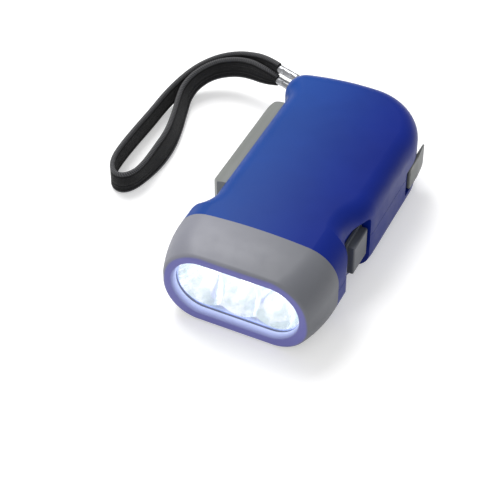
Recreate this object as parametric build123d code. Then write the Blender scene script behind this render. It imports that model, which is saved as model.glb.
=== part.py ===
"""A squeeze-lever dynamo torch with three lamps, a slide switch, a lever lock and a wrist strap.

The torch lies flat: +Z is up, the beam leaves along -Y, the squeeze lever is on the -X side,
and the switch and the lever lock are on the +X side. The origin is on the resting face.
All sizes are in millimetres.
"""

from build123d import *
import math
import os

# ---------------------------------------------------------------- driving sizes
# casing
length = 106.0
thickness = 32.0
crown = 2.4
head_half_width = 28.9
body_step = 0.5
head_depth = 18.0
wall = 1.8
edge_round = 7.2
head_round = 12.0
head_relief = 0.05
joint_clearance = 0.1
parting_groove = 0.2

# outline of the casing seen from above
skirt_length = 5.2
waist_depth = 4.4
waist_rise = 11.0
waist_ramp = 16.2
lever_side_depth = 6.5
lever_skirt_length = 1.6
lever_waist_rise = 13.0
strap_corner_depth = 3.1
strap_corner_round = 7.5
far_corner_round = 22.0
rear_tilt = 6.9

# head: bezel, lens, reflector and lamps
lip_step = 3.0
lip_height = 29.3
lip_crown = 1.0
lip_lift = 0.3
lip_curve = 2.2
lip_round = 13.2
lip_edge_round = 1.8
opening_side = 2.9
opening_height = 22.2
head_axis_z = 15.2
lens_recess = 2.6
lens_draft = 0.8
lens_thickness = 1.0
lens_ledge = 1.8
bezel_wall = 2.0
tongue_length = 3.4
lamp_spacing = 12.6
lamp_radius = 2.5
lamp_flange_radius = 2.9
lamp_length = 8.6
cup_radius = 9.4
cup_depth = 9.0
reflector_flange = 1.2
lamp_board_gap = 1.0
lamp_board_width = 36.0
lamp_board_height = 15.0
standoff_radius = 1.6
board_thickness = 1.2

# switch
pocket_front = 11.9
pocket_end_gap = 0.5
pocket_depth = 5.0
pocket_top_z = 24.4
knob_length = 11.2
knob_height = 11.5
knob_stand = 3.6
knob_low_z = 8.5
knob_bevel = 0.6
knob_margin = 1.1
flange_length = 13.0
flange_height = 15.0
flange_thickness = 0.8
switch_travel = 3.0
switch_body_depth = 3.2
switch_body_height = 8.0
switch_body_length = 12.0

# squeeze lever
pivot_depth = 5.4
pivot_set_back = 15.0
lever_swing = 20.0
grip_stand = 0.7
grip_low_z = 7.2
grip_high_z = 24.8
grip_set_back = 23.0
grip_rear_gap = 17.2
grip_round = 6.0
grip_wall = 1.8
grip_clearance = 0.4
web_thickness = 3.6
web_length = 28.0
lever_boss_radius = 3.4
lever_pin_radius = 1.25
running_clearance = 0.05
slot_clearance = 0.6
catch_rear_gap = 24.4
catch_width = 3.0
catch_depth = 8.2
barb_width = 2.7
barb_length = 3.0

# lever spring
spring_wire_radius = 0.35
spring_coil_radius = 3.0
spring_turns = 4
spring_pitch = 0.85
spring_leg = 6.0
spring_angle = 170.0

# gear train
pressure_angle = 20.0
sector_module = 0.8
sector_teeth = 65
first_pinion_teeth = 12
first_wheel_module = 0.6
first_wheel_teeth = 44
second_pinion_teeth = 11
second_wheel_module = 0.5
second_wheel_teeth = 40
rotor_pinion_teeth = 10
backlash = 0.12
wheel_addendum = 0.62
pinion_addendum = 1.0
wheel_dedendum = 1.25
pinion_dedendum = 1.0
first_gear_angle = 45.0
second_gear_angle = 100.0
rotor_angle = 72.0
gear_axle_radius = 1.0
rotor_axle_radius = 0.75
seat_clearance = 0.02
end_gap = 0.3
wheel_face = 2.2
boss_wall = 1.8

# generator
rotor_radius = 12.0
rotor_wall = 1.1
rotor_floor = 1.6
rotor_height = 11.2
magnet_thickness = 2.2
air_gap = 0.4
claw_thickness = 0.5
claw_count = 6
claw_angle = 18.0
coil_wall = 0.6
coil_flange = 0.6
glue_gap = 0.05

# electrics on the floor of the casing
charge_board_length = 17.0
charge_board_width = 27.0
charge_board_x = 1.5
charge_board_set_back = 14.5
charge_board_low_z = 3.6
cell_radius = 8.0
cell_thickness = 3.4
clip_thickness = 0.4
clip_width = 6.0
diode_radius = 0.9
diode_length = 4.2
wire_radius = 0.5

# lever lock
lock_travel = 3.2
lock_tab_rear_gap = 24.0
lock_tab_length = 15.0
lock_tab_height = 10.0
lock_tab_thickness = 1.1
lock_tab_sink = 0.9
lock_tab_taper = 0.8
lock_recess_gap = 0.3
lock_stem_length = 4.0
lock_stem_reach = 9.0
lock_bar_thickness = 2.6
lock_bar_width = 2.4
lock_finger_width = 2.6
lock_finger_gap = 0.5
rail_places = (-9.0, 10.0)

# case screws
screw_radius = 1.1
screw_head_radius = 2.1
screw_head_height = 1.6
screw_length = 22.0
screw_recess = 2.2
screw_boss_radius = 2.8

# wrist strap
strap_angle = 125.0
strap_post_reach = 2.4
strap_post_radius = 1.2
strap_cord_radius = 0.8
strap_cord_gap = 0.05
ferrule_radius = 1.5
ferrule_length = 9.0
ferrule_heading = -17.5
strap_thickness = 2.0
strap_width = 9.0
strap_end_width = 4.6
strap_taper = 12.0

# the strap's route from the upper ferrule round the loop to the lower ferrule: x and y from the
# casing's rear corner on the lever's side, z from the resting face
strap_steps = [
    (-10.4, 7.4, 18.5),
    (-16.8, 8.9, 16.2),
    (-23.4, 10.1, 13.9),
    (-30, 10.3, 11.9),
    (-37.1, 7.8, 9.6),
    (-42.8, 2, 7.4),
    (-46.1, -5, 5.8),
    (-47.8, -13.5, 4.9),
    (-48.3, -23.5, 4.6),
    (-48.7, -34.5, 4.55),
    (-48.8, -45.5, 4.55),
    (-48.1, -54, 4.55),
    (-45, -60, 4.55),
    (-40.8, -61, 4.55),
    (-37.5, -57.2, 4.55),
    (-36.2, -49.5, 4.55),
    (-35.9, -41, 4.55),
    (-36.4, -32, 4.55),
    (-38.7, -22, 4.55),
    (-41.4, -13, 4.9),
    (-42.8, -6, 5.8),
    (-41.2, 0.1, 7.4),
    (-36.8, 5.2, 9.4),
    (-29.8, 7.6, 11.4),
    (-23, 7.6, 12.8),
    (-16.6, 6.6, 13.4),
    (-10.6, 6.7, 13.5),
]

# ---------------------------------------------------------------- worked-out places
front_y = -length / 2
rear_y = length / 2
seam_y = front_y + head_depth
body_half_width = head_half_width - body_step
waist_right_half = head_half_width - waist_depth
lever_side_half = head_half_width - lever_side_depth
strap_corner_half = head_half_width - strap_corner_depth
lip_half_width = head_half_width - lip_step
opening_width = 2 * (lip_half_width - opening_side)
pocket_floor_half = head_half_width - pocket_depth
knob_reach = pocket_floor_half + knob_stand
pivot_x = pivot_depth - lever_side_half
pivot_y = seam_y + pivot_set_back
grip_half_width = head_half_width + grip_stand
grip_front_y = seam_y + grip_set_back
grip_rear_y = rear_y - grip_rear_gap
web_rear_y = pivot_y + web_length
catch_front_y = rear_y - catch_rear_gap
catch_tip_x = catch_depth - lever_side_half
charge_board_y = seam_y + charge_board_set_back
lock_tab_front_y = rear_y - lock_tab_rear_gap
strap_route = [(x - strap_corner_half, y + rear_y, z) for x, y, z in strap_steps]
parting_z = thickness / 2
side_top = thickness - crown
roof_radius = (head_half_width**2 + crown**2) / (2 * crown)
pivot = (pivot_x, pivot_y)
far = 200.0


def away(start, distance, angle):
    """The point at a distance and an angle in degrees from start, in plan."""
    turn = math.radians(angle)
    return (start[0] + distance * math.cos(turn), start[1] + distance * math.sin(turn))


def roof_drop(distance):
    """How far the crowned top falls at a distance from the middle."""
    return roof_radius - math.sqrt(roof_radius**2 - distance**2)


def centre_distance(module, wheel, pinion):
    return module * (wheel + pinion) / 2


first_axis = away(pivot, centre_distance(sector_module, sector_teeth, first_pinion_teeth), first_gear_angle)
second_axis = away(
    first_axis, centre_distance(first_wheel_module, first_wheel_teeth, second_pinion_teeth), second_gear_angle
)
rotor_axis = away(
    second_axis, centre_distance(second_wheel_module, second_wheel_teeth, rotor_pinion_teeth), rotor_angle
)

# levels of the gear train, worked up and down from the lever's web in the middle of the casing
web_low_z = parting_z - web_thickness / 2
web_high_z = parting_z + web_thickness / 2
first_wheel_high_z = web_low_z - 1.4
first_wheel_low_z = first_wheel_high_z - wheel_face - 0.6
second_wheel_high_z = first_wheel_low_z - 1.4
second_wheel_low_z = second_wheel_high_z - wheel_face
rotor_low_z = second_wheel_low_z - 0.4
rotor_floor_z = web_low_z - 0.3

screw_places = [
    (head_half_width - 9.9, seam_y + 6.5),
    (9.9 - head_half_width, seam_y + 6.5),
    (pivot[0] + 5.0, pivot[1] + 42.0),
    (body_half_width - 7.4, pivot[1] + 39.5),
    (-4.0, rear_y - 5.6),
]


# ---------------------------------------------------------------- small helpers
def at(place, low_z):
    return Pos(place[0], place[1], low_z)


def rod(place, radius, low_z, high_z):
    """An upright cylinder from low_z to high_z."""
    return at(place, low_z) * extrude(Circle(radius), high_z - low_z)


def tube(place, outer, inner, low_z, high_z):
    return rod(place, outer, low_z, high_z) - rod(place, inner, low_z - 1, high_z + 1)


def block(x_span, y_span, z_span):
    """A box between two values on each axis."""
    spans = (x_span, y_span, z_span)
    size = [max(span) - min(span) for span in spans]
    middle = [(max(span) + min(span)) / 2 for span in spans]
    return Pos(*middle) * Box(*size)


def facing_front(y):
    """A plane at y whose sketch runs along X and Z and whose extrusion goes forward."""
    return Plane(origin=(0, y, 0), x_dir=(1, 0, 0), z_dir=(0, -1, 0))


def s_bend(start, end):
    """Two equal tangent arcs between two points, both ends running along Y."""
    middle = ((start[0] + end[0]) / 2, (start[1] + end[1]) / 2)
    heading = math.copysign(1, end[1] - start[1])
    return [TangentArc(start, middle, tangent=(0, heading)), TangentArc(end, middle, tangent=(0, -heading))]


def section(half_width, low, shoulder, rise, corner=0.0):
    """A section with a flat base, upright sides, a crowned top and rounded corners."""
    edges = [
        Line((-half_width, low), (half_width, low)),
        Line((half_width, low), (half_width, shoulder)),
        ThreePointArc((half_width, shoulder), (0, shoulder + rise), (-half_width, shoulder)),
        Line((-half_width, shoulder), (-half_width, low)),
    ]
    face = make_face(edges)
    if corner:
        face = fillet(face.vertices(), corner)
    return face


# ---------------------------------------------------------------- casing form
def casing_outline():
    """The casing from above: straight head, waist with the switch, hand part, strap corner."""
    front = seam_y - 10
    corner_start = (body_half_width - far_corner_round, rear_y)
    corner_centre_x = -strap_corner_half + strap_corner_round
    tilt = math.radians(rear_tilt)
    end_x = corner_centre_x - strap_corner_round * math.sin(tilt)
    end_y = rear_y - (corner_start[0] - end_x) * math.tan(tilt / 2)
    corner_centre = (corner_centre_x, end_y - strap_corner_round * math.cos(tilt))
    half_turn = away(corner_centre, strap_corner_round, 90 + rear_tilt + (90 - rear_tilt) / 2)
    inset = strap_corner_half - lever_side_half
    bulge = math.sqrt(4 * strap_corner_round * inset - inset**2)
    skirt_y = seam_y + skirt_length
    waist_y = skirt_y + waist_rise
    left_skirt_y = seam_y + lever_skirt_length
    left_waist_y = left_skirt_y + lever_waist_rise
    edges = [Line((head_half_width, front), (head_half_width, skirt_y))]
    edges += s_bend((head_half_width, skirt_y), (waist_right_half, waist_y))
    edges += s_bend((waist_right_half, waist_y), (body_half_width, waist_y + waist_ramp))
    edges += [
        Line((body_half_width, waist_y + waist_ramp), (body_half_width, rear_y - far_corner_round)),
        RadiusArc((body_half_width, rear_y - far_corner_round), corner_start, -far_corner_round),
        TangentArc(corner_start, (end_x, end_y), tangent=(-1, 0)),
        ThreePointArc((end_x, end_y), half_turn, (-strap_corner_half, corner_centre[1])),
    ]
    edges += s_bend((-strap_corner_half, corner_centre[1]), (-lever_side_half, corner_centre[1] - bulge))
    edges += [Line((-lever_side_half, corner_centre[1] - bulge), (-lever_side_half, left_waist_y))]
    edges += s_bend((-lever_side_half, left_waist_y), (-head_half_width, left_skirt_y))
    edges += [
        Line((-head_half_width, left_skirt_y), (-head_half_width, front)),
        Line((-head_half_width, front), (head_half_width, front)),
    ]
    return make_face(edges), corner_centre


outline, strap_corner = casing_outline()


def grown_outline(growth):
    return offset(outline, growth) if growth else outline


def casing_form(inset):
    """The casing's rounded form, shrunk by inset on every side but the seam with the bezel."""
    prism = extrude(Pos(0, 0, inset) * grown_outline(-inset), thickness)
    half = far / 2
    roof = section(half, inset, thickness - inset - roof_drop(half), roof_drop(half))
    form = prism & extrude(facing_front(far / 2) * roof, far)
    top = form.faces().sort_by(Axis.Z)[-1]
    bottom = form.faces().sort_by(Axis.Z)[0]
    loops = [edge for edge in top.edges() + bottom.edges() if edge.center().Y > seam_y - 9]
    form = fillet(loops, edge_round - inset)
    head_end = seam_y + skirt_length + waist_rise + waist_ramp / 9
    head_half = head_half_width - inset
    rise = roof_drop(head_half)
    low, high = inset - head_relief, thickness - inset - rise + head_relief
    head = section(head_half, low, high, rise, head_round - inset)
    keep = extrude(facing_front(head_end) * head, far) + block((-far, far), (head_end, far), (-far, far))
    form = form & keep
    return form - block((-far, far), (-far, seam_y), (-far, far))


casing = casing_form(0)
cavity = casing_form(wall)


def screw_bosses(low_z, high_z):
    return [rod(place, screw_boss_radius, low_z, high_z) for place in screw_places]


# ---------------------------------------------------------------- openings in the casing wall
pocket_y = seam_y + pocket_front
pocket_end_y = pocket_y + flange_length + switch_travel + 2 * pocket_end_gap
switch_pocket = block((pocket_floor_half, far), (pocket_y, pocket_end_y), (-1, pocket_top_z))
switch_pocket = fillet(switch_pocket.edges().filter_by(Axis.X).group_by(Axis.Z)[-1], 2.0)
knob_middle_z = knob_low_z + knob_height / 2
slider_front_y = pocket_end_y - pocket_end_gap - flange_length
knob_front_y = slider_front_y + knob_margin
knob_middle_y = knob_front_y + knob_length / 2
switch_stem = (3.0, 3.0)
switch_slot = block(
    (pocket_floor_half - 2 * wall, pocket_floor_half + 0.1),
    (knob_middle_y - switch_stem[0] / 2 - switch_travel - 0.3, knob_middle_y + switch_stem[0] / 2 + 0.3),
    (knob_middle_z - switch_stem[1] / 2 - 0.3, knob_middle_z + switch_stem[1] / 2 + 0.3),
)

web_slot = block(
    (-far, -lever_side_half + wall + 1.2),
    (pivot_y + 2.7, web_rear_y + 1.0),
    (web_low_z - slot_clearance, web_high_z + slot_clearance),
)
web_slot -= block((-far, pivot_x - lever_boss_radius - 0.4), (-far, pivot_y + 2.6), (-far, far))
catch_rear_y = catch_front_y + catch_width
catch_slot = block(
    (-far, -lever_side_half + wall + 0.2),
    (catch_front_y - 1.0, catch_rear_y + barb_length + 0.8),
    (web_low_z - slot_clearance, web_high_z + slot_clearance),
)

lock_tab_low_x = body_half_width - lock_tab_sink
lock_tab_rear_y = lock_tab_front_y + lock_tab_length
lock_stem_front_y = lock_tab_rear_y - lock_stem_length - 1.5
lock_stem_rear_y = lock_stem_front_y + lock_stem_length
lock_low_z = first_wheel_low_z + 0.6
lock_tab_z = (lock_low_z - 2.4, lock_low_z - 2.4 + lock_tab_height)
lock_bar_front_y = lock_stem_front_y + (lock_stem_length - lock_bar_width) / 2
lock_slot = block(
    (lock_tab_low_x - 4 * wall, far),
    (lock_stem_front_y - lock_travel - 0.4, lock_stem_rear_y + 0.4),
    (lock_low_z - 0.3, lock_low_z + lock_bar_thickness + 0.3),
)
lock_recess = block(
    (lock_tab_low_x - 0.12, far),
    (lock_tab_front_y - lock_travel - lock_recess_gap, lock_tab_rear_y + lock_recess_gap),
    (lock_tab_z[0] - lock_recess_gap, lock_tab_z[1] + lock_recess_gap),
)

strap_way = 2 * (strap_post_radius + 2 * strap_cord_radius) + 1.0
strap_slot_height = 6 * strap_cord_radius
strap_slot = (
    Pos(strap_corner[0], strap_corner[1], parting_z)
    * Rot(0, 0, strap_angle)
    * Pos(far / 2 + 4.0, 0, 0)
    * Box(far, strap_way, strap_slot_height)
)
strap_post_place = away(strap_corner, strap_post_reach, strap_angle)


# ---------------------------------------------------------------- shells
def shell_wall():
    """The hollow casing with its windows, before it is split in two."""
    hollow = casing - cavity
    inner_shelf = block((pocket_floor_half - wall, far), (pocket_y - wall, pocket_end_y + wall), (-1, far))
    hollow += inner_shelf & casing & block((-far, far), (-far, far), (0, pocket_top_z + wall))
    hollow -= switch_pocket
    for opening in (switch_slot, web_slot, catch_slot, lock_slot, lock_recess, strap_slot):
        hollow -= opening
    return hollow


hollow_casing = shell_wall()
lower_half = block((-far, far), (-far, far), (-far, parting_z))
upper_half = block((-far, far), (-far, far), (parting_z, far))
groove_band = block((-far, far), (-far, far), (parting_z - parting_groove / 2, parting_z + parting_groove / 2))
groove = (casing - extrude(grown_outline(-parting_groove), thickness)) & groove_band

lever_boss_low_top = web_low_z - end_gap - 0.3
spring_room = spring_turns * spring_pitch + 1.4
lever_boss_high_low = web_high_z + end_gap + spring_room
first_boss_top = first_wheel_low_z - end_gap
second_boss_top = second_wheel_low_z - end_gap
rotor_boss_top = rotor_low_z - end_gap
magnet_inner = rotor_radius - rotor_wall - glue_gap - magnet_thickness
stator_radius = magnet_inner - air_gap
stator_boss_radius = rotor_axle_radius + boss_wall - 0.2
rotor_top_z = rotor_floor_z + rotor_height
stator_low_z = rotor_floor_z + rotor_floor + air_gap
stator_high_z = rotor_top_z - 0.4
stator_seat_z = stator_high_z + seat_clearance


def make_bottom_shell():
    shell = hollow_casing & lower_half
    floor_z = wall / 2
    room = casing & lower_half
    supports = screw_bosses(floor_z, parting_z)
    supports.append(rod(pivot, lever_pin_radius + boss_wall, floor_z, lever_boss_low_top))
    supports.append(rod(first_axis, gear_axle_radius + boss_wall, floor_z, first_boss_top))
    supports.append(rod(second_axis, gear_axle_radius + boss_wall, floor_z, second_boss_top))
    supports.append(rod(rotor_axis, rotor_axle_radius + boss_wall, floor_z, rotor_boss_top))
    supports.append(rod(strap_post_place, strap_post_radius + 1.2, floor_z, parting_z - 2.6))
    for x in rail_places:
        rail_y = (lock_bar_front_y - lock_travel, lock_bar_front_y + lock_bar_width + 0.6)
        supports.append(block((x - 0.8, x + 0.8), rail_y, (floor_z, lock_low_z - end_gap)))
    for x in (charge_board_x - charge_board_width / 2 + 2, charge_board_x + charge_board_width / 2 - 2):
        for y in (charge_board_y - charge_board_length / 2 + 2, charge_board_y + charge_board_length / 2 - 2):
            supports.append(rod((x, y), 1.2, floor_z, charge_board_low_z))
    for support in supports:
        shell += support & room
    for place in screw_places:
        shell -= rod(place, screw_radius + running_clearance, -1, far)
        shell -= rod(place, screw_head_radius + 0.1, -1, screw_head_height + screw_recess)
    shell -= rod(pivot, lever_pin_radius + seat_clearance, wall + 1.2, far)
    shell -= rod(first_axis, gear_axle_radius + seat_clearance, wall + 1.2, far)
    shell -= rod(second_axis, gear_axle_radius + seat_clearance, wall + 0.6, far)
    shell -= rod(rotor_axis, rotor_axle_radius + seat_clearance, wall + 0.6, far)
    shell -= rod(strap_post_place, strap_post_radius + seat_clearance, wall + 1.2, far)
    shell -= strap_slot
    shell -= switch_pocket
    return shell - groove


def make_top_shell():
    shell = hollow_casing & upper_half
    room = casing & upper_half
    supports = screw_bosses(parting_z, far)
    supports.append(rod(pivot, lever_pin_radius + boss_wall, lever_boss_high_low, far))
    supports.append(rod(first_axis, gear_axle_radius + boss_wall, web_high_z + 0.8 + end_gap, far))
    supports.append(rod(rotor_axis, stator_boss_radius, stator_low_z, far))
    supports.append(rod(rotor_axis, stator_boss_radius + 1.8, stator_seat_z, far))
    supports.append(rod(strap_post_place, strap_post_radius + 1.2, parting_z + 2.6, far))
    for support in supports:
        shell += support & room
    for place in screw_places:
        shell -= rod(place, screw_radius + seat_clearance, -1, screw_head_height + screw_recess + screw_length + 0.5)
    roof_z = side_top - wall - 1.2
    shell -= rod(pivot, lever_pin_radius + seat_clearance, -1, roof_z)
    shell -= rod(first_axis, gear_axle_radius + seat_clearance, -1, roof_z)
    shell -= rod(rotor_axis, rotor_axle_radius + seat_clearance, -1, roof_z)
    shell -= rod(strap_post_place, strap_post_radius + seat_clearance, -1, roof_z)
    shell -= strap_slot
    shell -= switch_pocket
    return shell - groove


# ---------------------------------------------------------------- head
def slot_prism(width, height, low_y, high_y):
    """A stadium-shaped prism along Y, centred on the head's axis."""
    return extrude(facing_front(high_y) * Pos(0, head_axis_z) * SlotOverall(width, height), high_y - low_y)


lens_front_y = front_y + lens_recess
lens_width = opening_width - 2 * lens_draft + 2 * lens_ledge
lens_height = opening_height - 2 * lens_draft + 2 * lens_ledge
flange_front_y = lens_front_y + lens_thickness + joint_clearance
reflector_rear_y = flange_front_y + cup_depth + 1.0
lamp_board_front_y = reflector_rear_y + lamp_length - 5.4 + lamp_board_gap


def make_head_bezel():
    """The grey ring: it narrows from the casing's section, faster and faster, to the rounded lip."""
    faces = []
    for part in (0, 0.42, 0.76, 1):
        share = part**lip_curve
        lip_section = section(
            head_half_width - lip_step * share,
            lip_lift * share,
            side_top - (side_top - lip_height + lip_crown) * share,
            crown - (crown - lip_crown) * share,
            head_round + (lip_round - head_round) * share,
        )
        faces.append(facing_front(seam_y - head_depth * part) * lip_section)
    ring = loft(faces)
    ring = fillet(ring.edges().filter_by(lambda edge: abs(edge.center().Y - front_y) < 0.01), lip_edge_round)
    tongue_section = section(
        head_half_width - wall - joint_clearance,
        wall + joint_clearance,
        side_top - wall - joint_clearance,
        crown,
        head_round - wall,
    )
    ring += extrude(facing_front(seam_y + tongue_length) * tongue_section, tongue_length)
    inner_section = section(
        head_half_width - wall - joint_clearance - bezel_wall,
        wall + joint_clearance + bezel_wall,
        side_top - wall - joint_clearance - bezel_wall,
        crown,
        head_round - wall - bezel_wall,
    )
    chamber_front_y = flange_front_y + reflector_flange + 1.6
    chamber_rear_y = seam_y + tongue_length + 1
    ring -= extrude(facing_front(chamber_rear_y) * inner_section, chamber_rear_y - chamber_front_y)
    ring -= slot_prism(lens_width + 0.3, lens_height + 0.3, lens_front_y, chamber_front_y + 0.5)
    narrow = SlotOverall(opening_width - 2 * lens_draft, opening_height - 2 * lens_draft)
    wide = SlotOverall(opening_width, opening_height)
    ring -= loft(
        [
            facing_front(lens_front_y + 0.5) * Pos(0, head_axis_z) * narrow,
            facing_front(front_y - 0.1) * Pos(0, head_axis_z) * wide,
        ]
    )

    def at_mouth(edge):
        centre = edge.center()
        beside = abs(centre.X) < opening_width / 2 + 0.5 and abs(centre.Z - head_axis_z) < opening_height / 2 + 0.5
        return abs(centre.Y - front_y) < 0.2 and beside

    return fillet(ring.edges().filter_by(at_mouth), 0.5)


def make_lens():
    return slot_prism(lens_width, lens_height, lens_front_y, lens_front_y + lens_thickness)


def lamp_places():
    return [(-lamp_spacing, "led_left"), (0.0, "led_middle"), (lamp_spacing, "led_right")]


def cup(x):
    """One bowl of the reflector: a parabola turned about the lamp's axis."""
    steps = 6
    depth = cup_depth
    points = []
    for i in range(steps + 1):
        radius = lamp_radius + 0.2 + (cup_radius - lamp_radius - 0.2) * i / steps
        share = (radius / cup_radius) ** 2
        points.append((radius, depth * share))
    low = points[0][1]
    profile = make_face(
        [
            Spline(points),
            Line(points[-1], (cup_radius, depth + 2)),
            Line((cup_radius, depth + 2), (0, depth + 2)),
            Line((0, depth + 2), (0, low)),
            Line((0, low), points[0]),
        ]
    )
    bowl = revolve(Plane.XZ * profile, Axis.Z)
    back_y = flange_front_y + cup_depth
    return Pos(x, back_y, head_axis_z) * Rot(90, 0, 0) * bowl


def make_reflector():
    """The moulded reflector: a flange behind the lens and a block with three bowls."""
    inner_width = opening_width - 2 * lens_draft
    inner_height = opening_height - 2 * lens_draft
    body = slot_prism(lens_width, lens_height, flange_front_y, flange_front_y + reflector_flange)
    body += slot_prism(inner_width + 0.6, inner_height + 0.6, flange_front_y, reflector_rear_y)
    limit = slot_prism(inner_width - 0.6, inner_height - 0.6, flange_front_y - 5, reflector_rear_y - 0.8)
    for x, _ in lamp_places():
        body -= cup(x) & limit
        hole = Pos(x, 0, head_axis_z) * Rot(-90, 0, 0) * Cylinder(lamp_radius + 0.2, far)
        body -= hole & block((-far, far), (flange_front_y - 1, reflector_rear_y + 1), (-far, far))
    for side in (-1, 1):
        post = Pos(side * lamp_spacing / 2, 0, head_axis_z) * Rot(-90, 0, 0) * Cylinder(standoff_radius, far)
        body += post & block((-far, far), (reflector_rear_y - 0.4, lamp_board_front_y - joint_clearance), (-far, far))
    return body


def make_lamp(x):
    """A five millimetre lamp with its dome, flange and two legs through the board."""
    dome_y = lamp_board_front_y - lamp_length + lamp_radius

    def barrel(radius, near_y, away_y):
        return Pos(x, near_y, head_axis_z) * Rot(-90, 0, 0) * extrude(Circle(radius), away_y - near_y)

    lamp = barrel(lamp_radius, dome_y, lamp_board_front_y)
    lamp += Pos(x, dome_y, head_axis_z) * Sphere(lamp_radius)
    lamp += barrel(lamp_flange_radius, lamp_board_front_y - 1.0, lamp_board_front_y)
    return lamp


def make_led_board():
    return block(
        (-lamp_board_width / 2, lamp_board_width / 2),
        (lamp_board_front_y, lamp_board_front_y + board_thickness),
        (head_axis_z - lamp_board_height / 2, head_axis_z + lamp_board_height / 2),
    )


# ---------------------------------------------------------------- gears
def gear_edges(teeth, module, addendum, dedendum, count):
    """Involute tooth edges for count teeth; tooth 0 points along +X and they run round +Z.

    Each flank is an arc through three points of the involute, thinned for backlash.
    """
    pitch_radius = module * teeth / 2
    base_radius = pitch_radius * math.cos(math.radians(pressure_angle))
    tip_radius = pitch_radius + addendum * module
    root_radius = pitch_radius - dedendum * module
    start_radius = max(base_radius, root_radius)

    def involute(radius):
        alpha = math.acos(min(1.0, base_radius / radius))
        return math.tan(alpha) - alpha

    half_tooth = math.pi / (2 * teeth) - backlash / (4 * pitch_radius)

    def half_angle(radius):
        return half_tooth + involute(pitch_radius) - involute(radius)

    def point(radius, turn):
        return (radius * math.cos(turn), radius * math.sin(turn))

    pitch_turn = 2 * math.pi / teeth
    middle_radius = (start_radius + tip_radius) / 2
    edges = []
    for k in range(count):
        centre = k * pitch_turn
        flanks = []
        for side in (-1, 1):
            low = point(start_radius, centre + side * half_angle(start_radius))
            mid = point(middle_radius, centre + side * half_angle(middle_radius))
            high = point(tip_radius, centre + side * half_angle(tip_radius))
            foot = point(root_radius, centre + side * half_angle(start_radius))
            flanks.append((foot, low, mid, high))
        (foot_a, low_a, mid_a, high_a), (foot_b, low_b, mid_b, high_b) = flanks
        if start_radius > root_radius:
            edges.append(Line(foot_a, low_a))
        edges.append(ThreePointArc(low_a, mid_a, high_a))
        edges.append(ThreePointArc(high_a, point(tip_radius, centre), high_b))
        edges.append(ThreePointArc(high_b, mid_b, low_b))
        if start_radius > root_radius:
            edges.append(Line(low_b, foot_b))
        if k < count - 1 or count == teeth:
            next_foot = point(root_radius, centre + pitch_turn - half_angle(start_radius))
            edges.append(ThreePointArc(foot_b, point(root_radius, centre + pitch_turn / 2), next_foot))
        last_foot = foot_b
    first_foot = point(root_radius, -half_angle(start_radius))
    return edges, first_foot, last_foot


def gear(place, teeth, module, addendum, dedendum, low_z, high_z, tooth_angle):
    """A whole spur gear with the middle of one tooth at tooth_angle degrees."""
    edges, _, _ = gear_edges(teeth, module, addendum, dedendum, teeth)
    blank = extrude(make_face(edges), high_z - low_z)
    return at(place, low_z) * Rot(0, 0, tooth_angle) * blank


def wheel(place, teeth, module, low_z, high_z, mesh_angle):
    """The large gear of a pair: a tooth points along the line of centres."""
    return gear(place, teeth, module, wheel_addendum, wheel_dedendum, low_z, high_z, mesh_angle)


def pinion(place, teeth, module, low_z, high_z, mesh_angle):
    """The small gear of a pair: a gap faces back along the line of centres."""
    return gear(place, teeth, module, pinion_addendum, pinion_dedendum, low_z, high_z, mesh_angle + 180 + 180 / teeth)


def make_first_gear():
    """The pinion that the sector drives, on the wheel that drives the second gear."""
    middle_z = first_wheel_high_z
    body = pinion(first_axis, first_pinion_teeth, sector_module, middle_z, web_high_z + 0.8, first_gear_angle)
    body += wheel(first_axis, first_wheel_teeth, first_wheel_module, first_wheel_low_z, middle_z, second_gear_angle)
    return body - rod(first_axis, gear_axle_radius + running_clearance, -1, far)


def make_second_gear():
    """The pinion that meets the first wheel, on the wheel that drives the rotor."""
    middle_z = second_wheel_high_z
    high_z = first_wheel_high_z + 0.4
    body = pinion(second_axis, second_pinion_teeth, first_wheel_module, middle_z, high_z, second_gear_angle)
    body += wheel(second_axis, second_wheel_teeth, second_wheel_module, second_wheel_low_z, middle_z, rotor_angle)
    return body - rod(second_axis, gear_axle_radius + running_clearance, -1, far)


# ---------------------------------------------------------------- generator
def make_rotor():
    """Pinion, hub and cup that carries the ring magnet."""
    hub_low_z = second_wheel_high_z + 0.4
    body = pinion(rotor_axis, rotor_pinion_teeth, second_wheel_module, rotor_low_z, hub_low_z, rotor_angle)
    body += rod(rotor_axis, rotor_axle_radius + boss_wall, hub_low_z, rotor_floor_z)
    body += rod(rotor_axis, rotor_radius, rotor_floor_z, rotor_floor_z + rotor_floor)
    body += tube(rotor_axis, rotor_radius, rotor_radius - rotor_wall, rotor_floor_z + rotor_floor, rotor_top_z)
    return body - rod(rotor_axis, rotor_axle_radius + running_clearance, -1, far)


def make_ring_magnet():
    return tube(
        rotor_axis,
        rotor_radius - rotor_wall - glue_gap,
        magnet_inner,
        rotor_floor_z + rotor_floor,
        rotor_top_z - 0.2,
    )


def claw_plate(low_z, high_z, claw_end_z, turn):
    """A pole plate: a disc with claws that reach over the coil to the other plate."""
    bore = stator_boss_radius + glue_gap
    plate = tube(rotor_axis, stator_radius, bore, low_z, high_z)
    rim_span = (min(low_z, claw_end_z), max(high_z, claw_end_z))
    rim = tube(rotor_axis, stator_radius, stator_radius - claw_thickness, *rim_span)
    reach = 2 * stator_radius
    corners = [(0, 0), away((0, 0), reach, -claw_angle / 2), away((0, 0), reach, claw_angle / 2), (0, 0)]
    wedge = extrude(make_face(Polyline(*corners)), far)
    for k in range(claw_count):
        plate += rim & (at(rotor_axis, 0) * Rot(0, 0, turn + k * 360 / claw_count) * wedge)
    return plate


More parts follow.
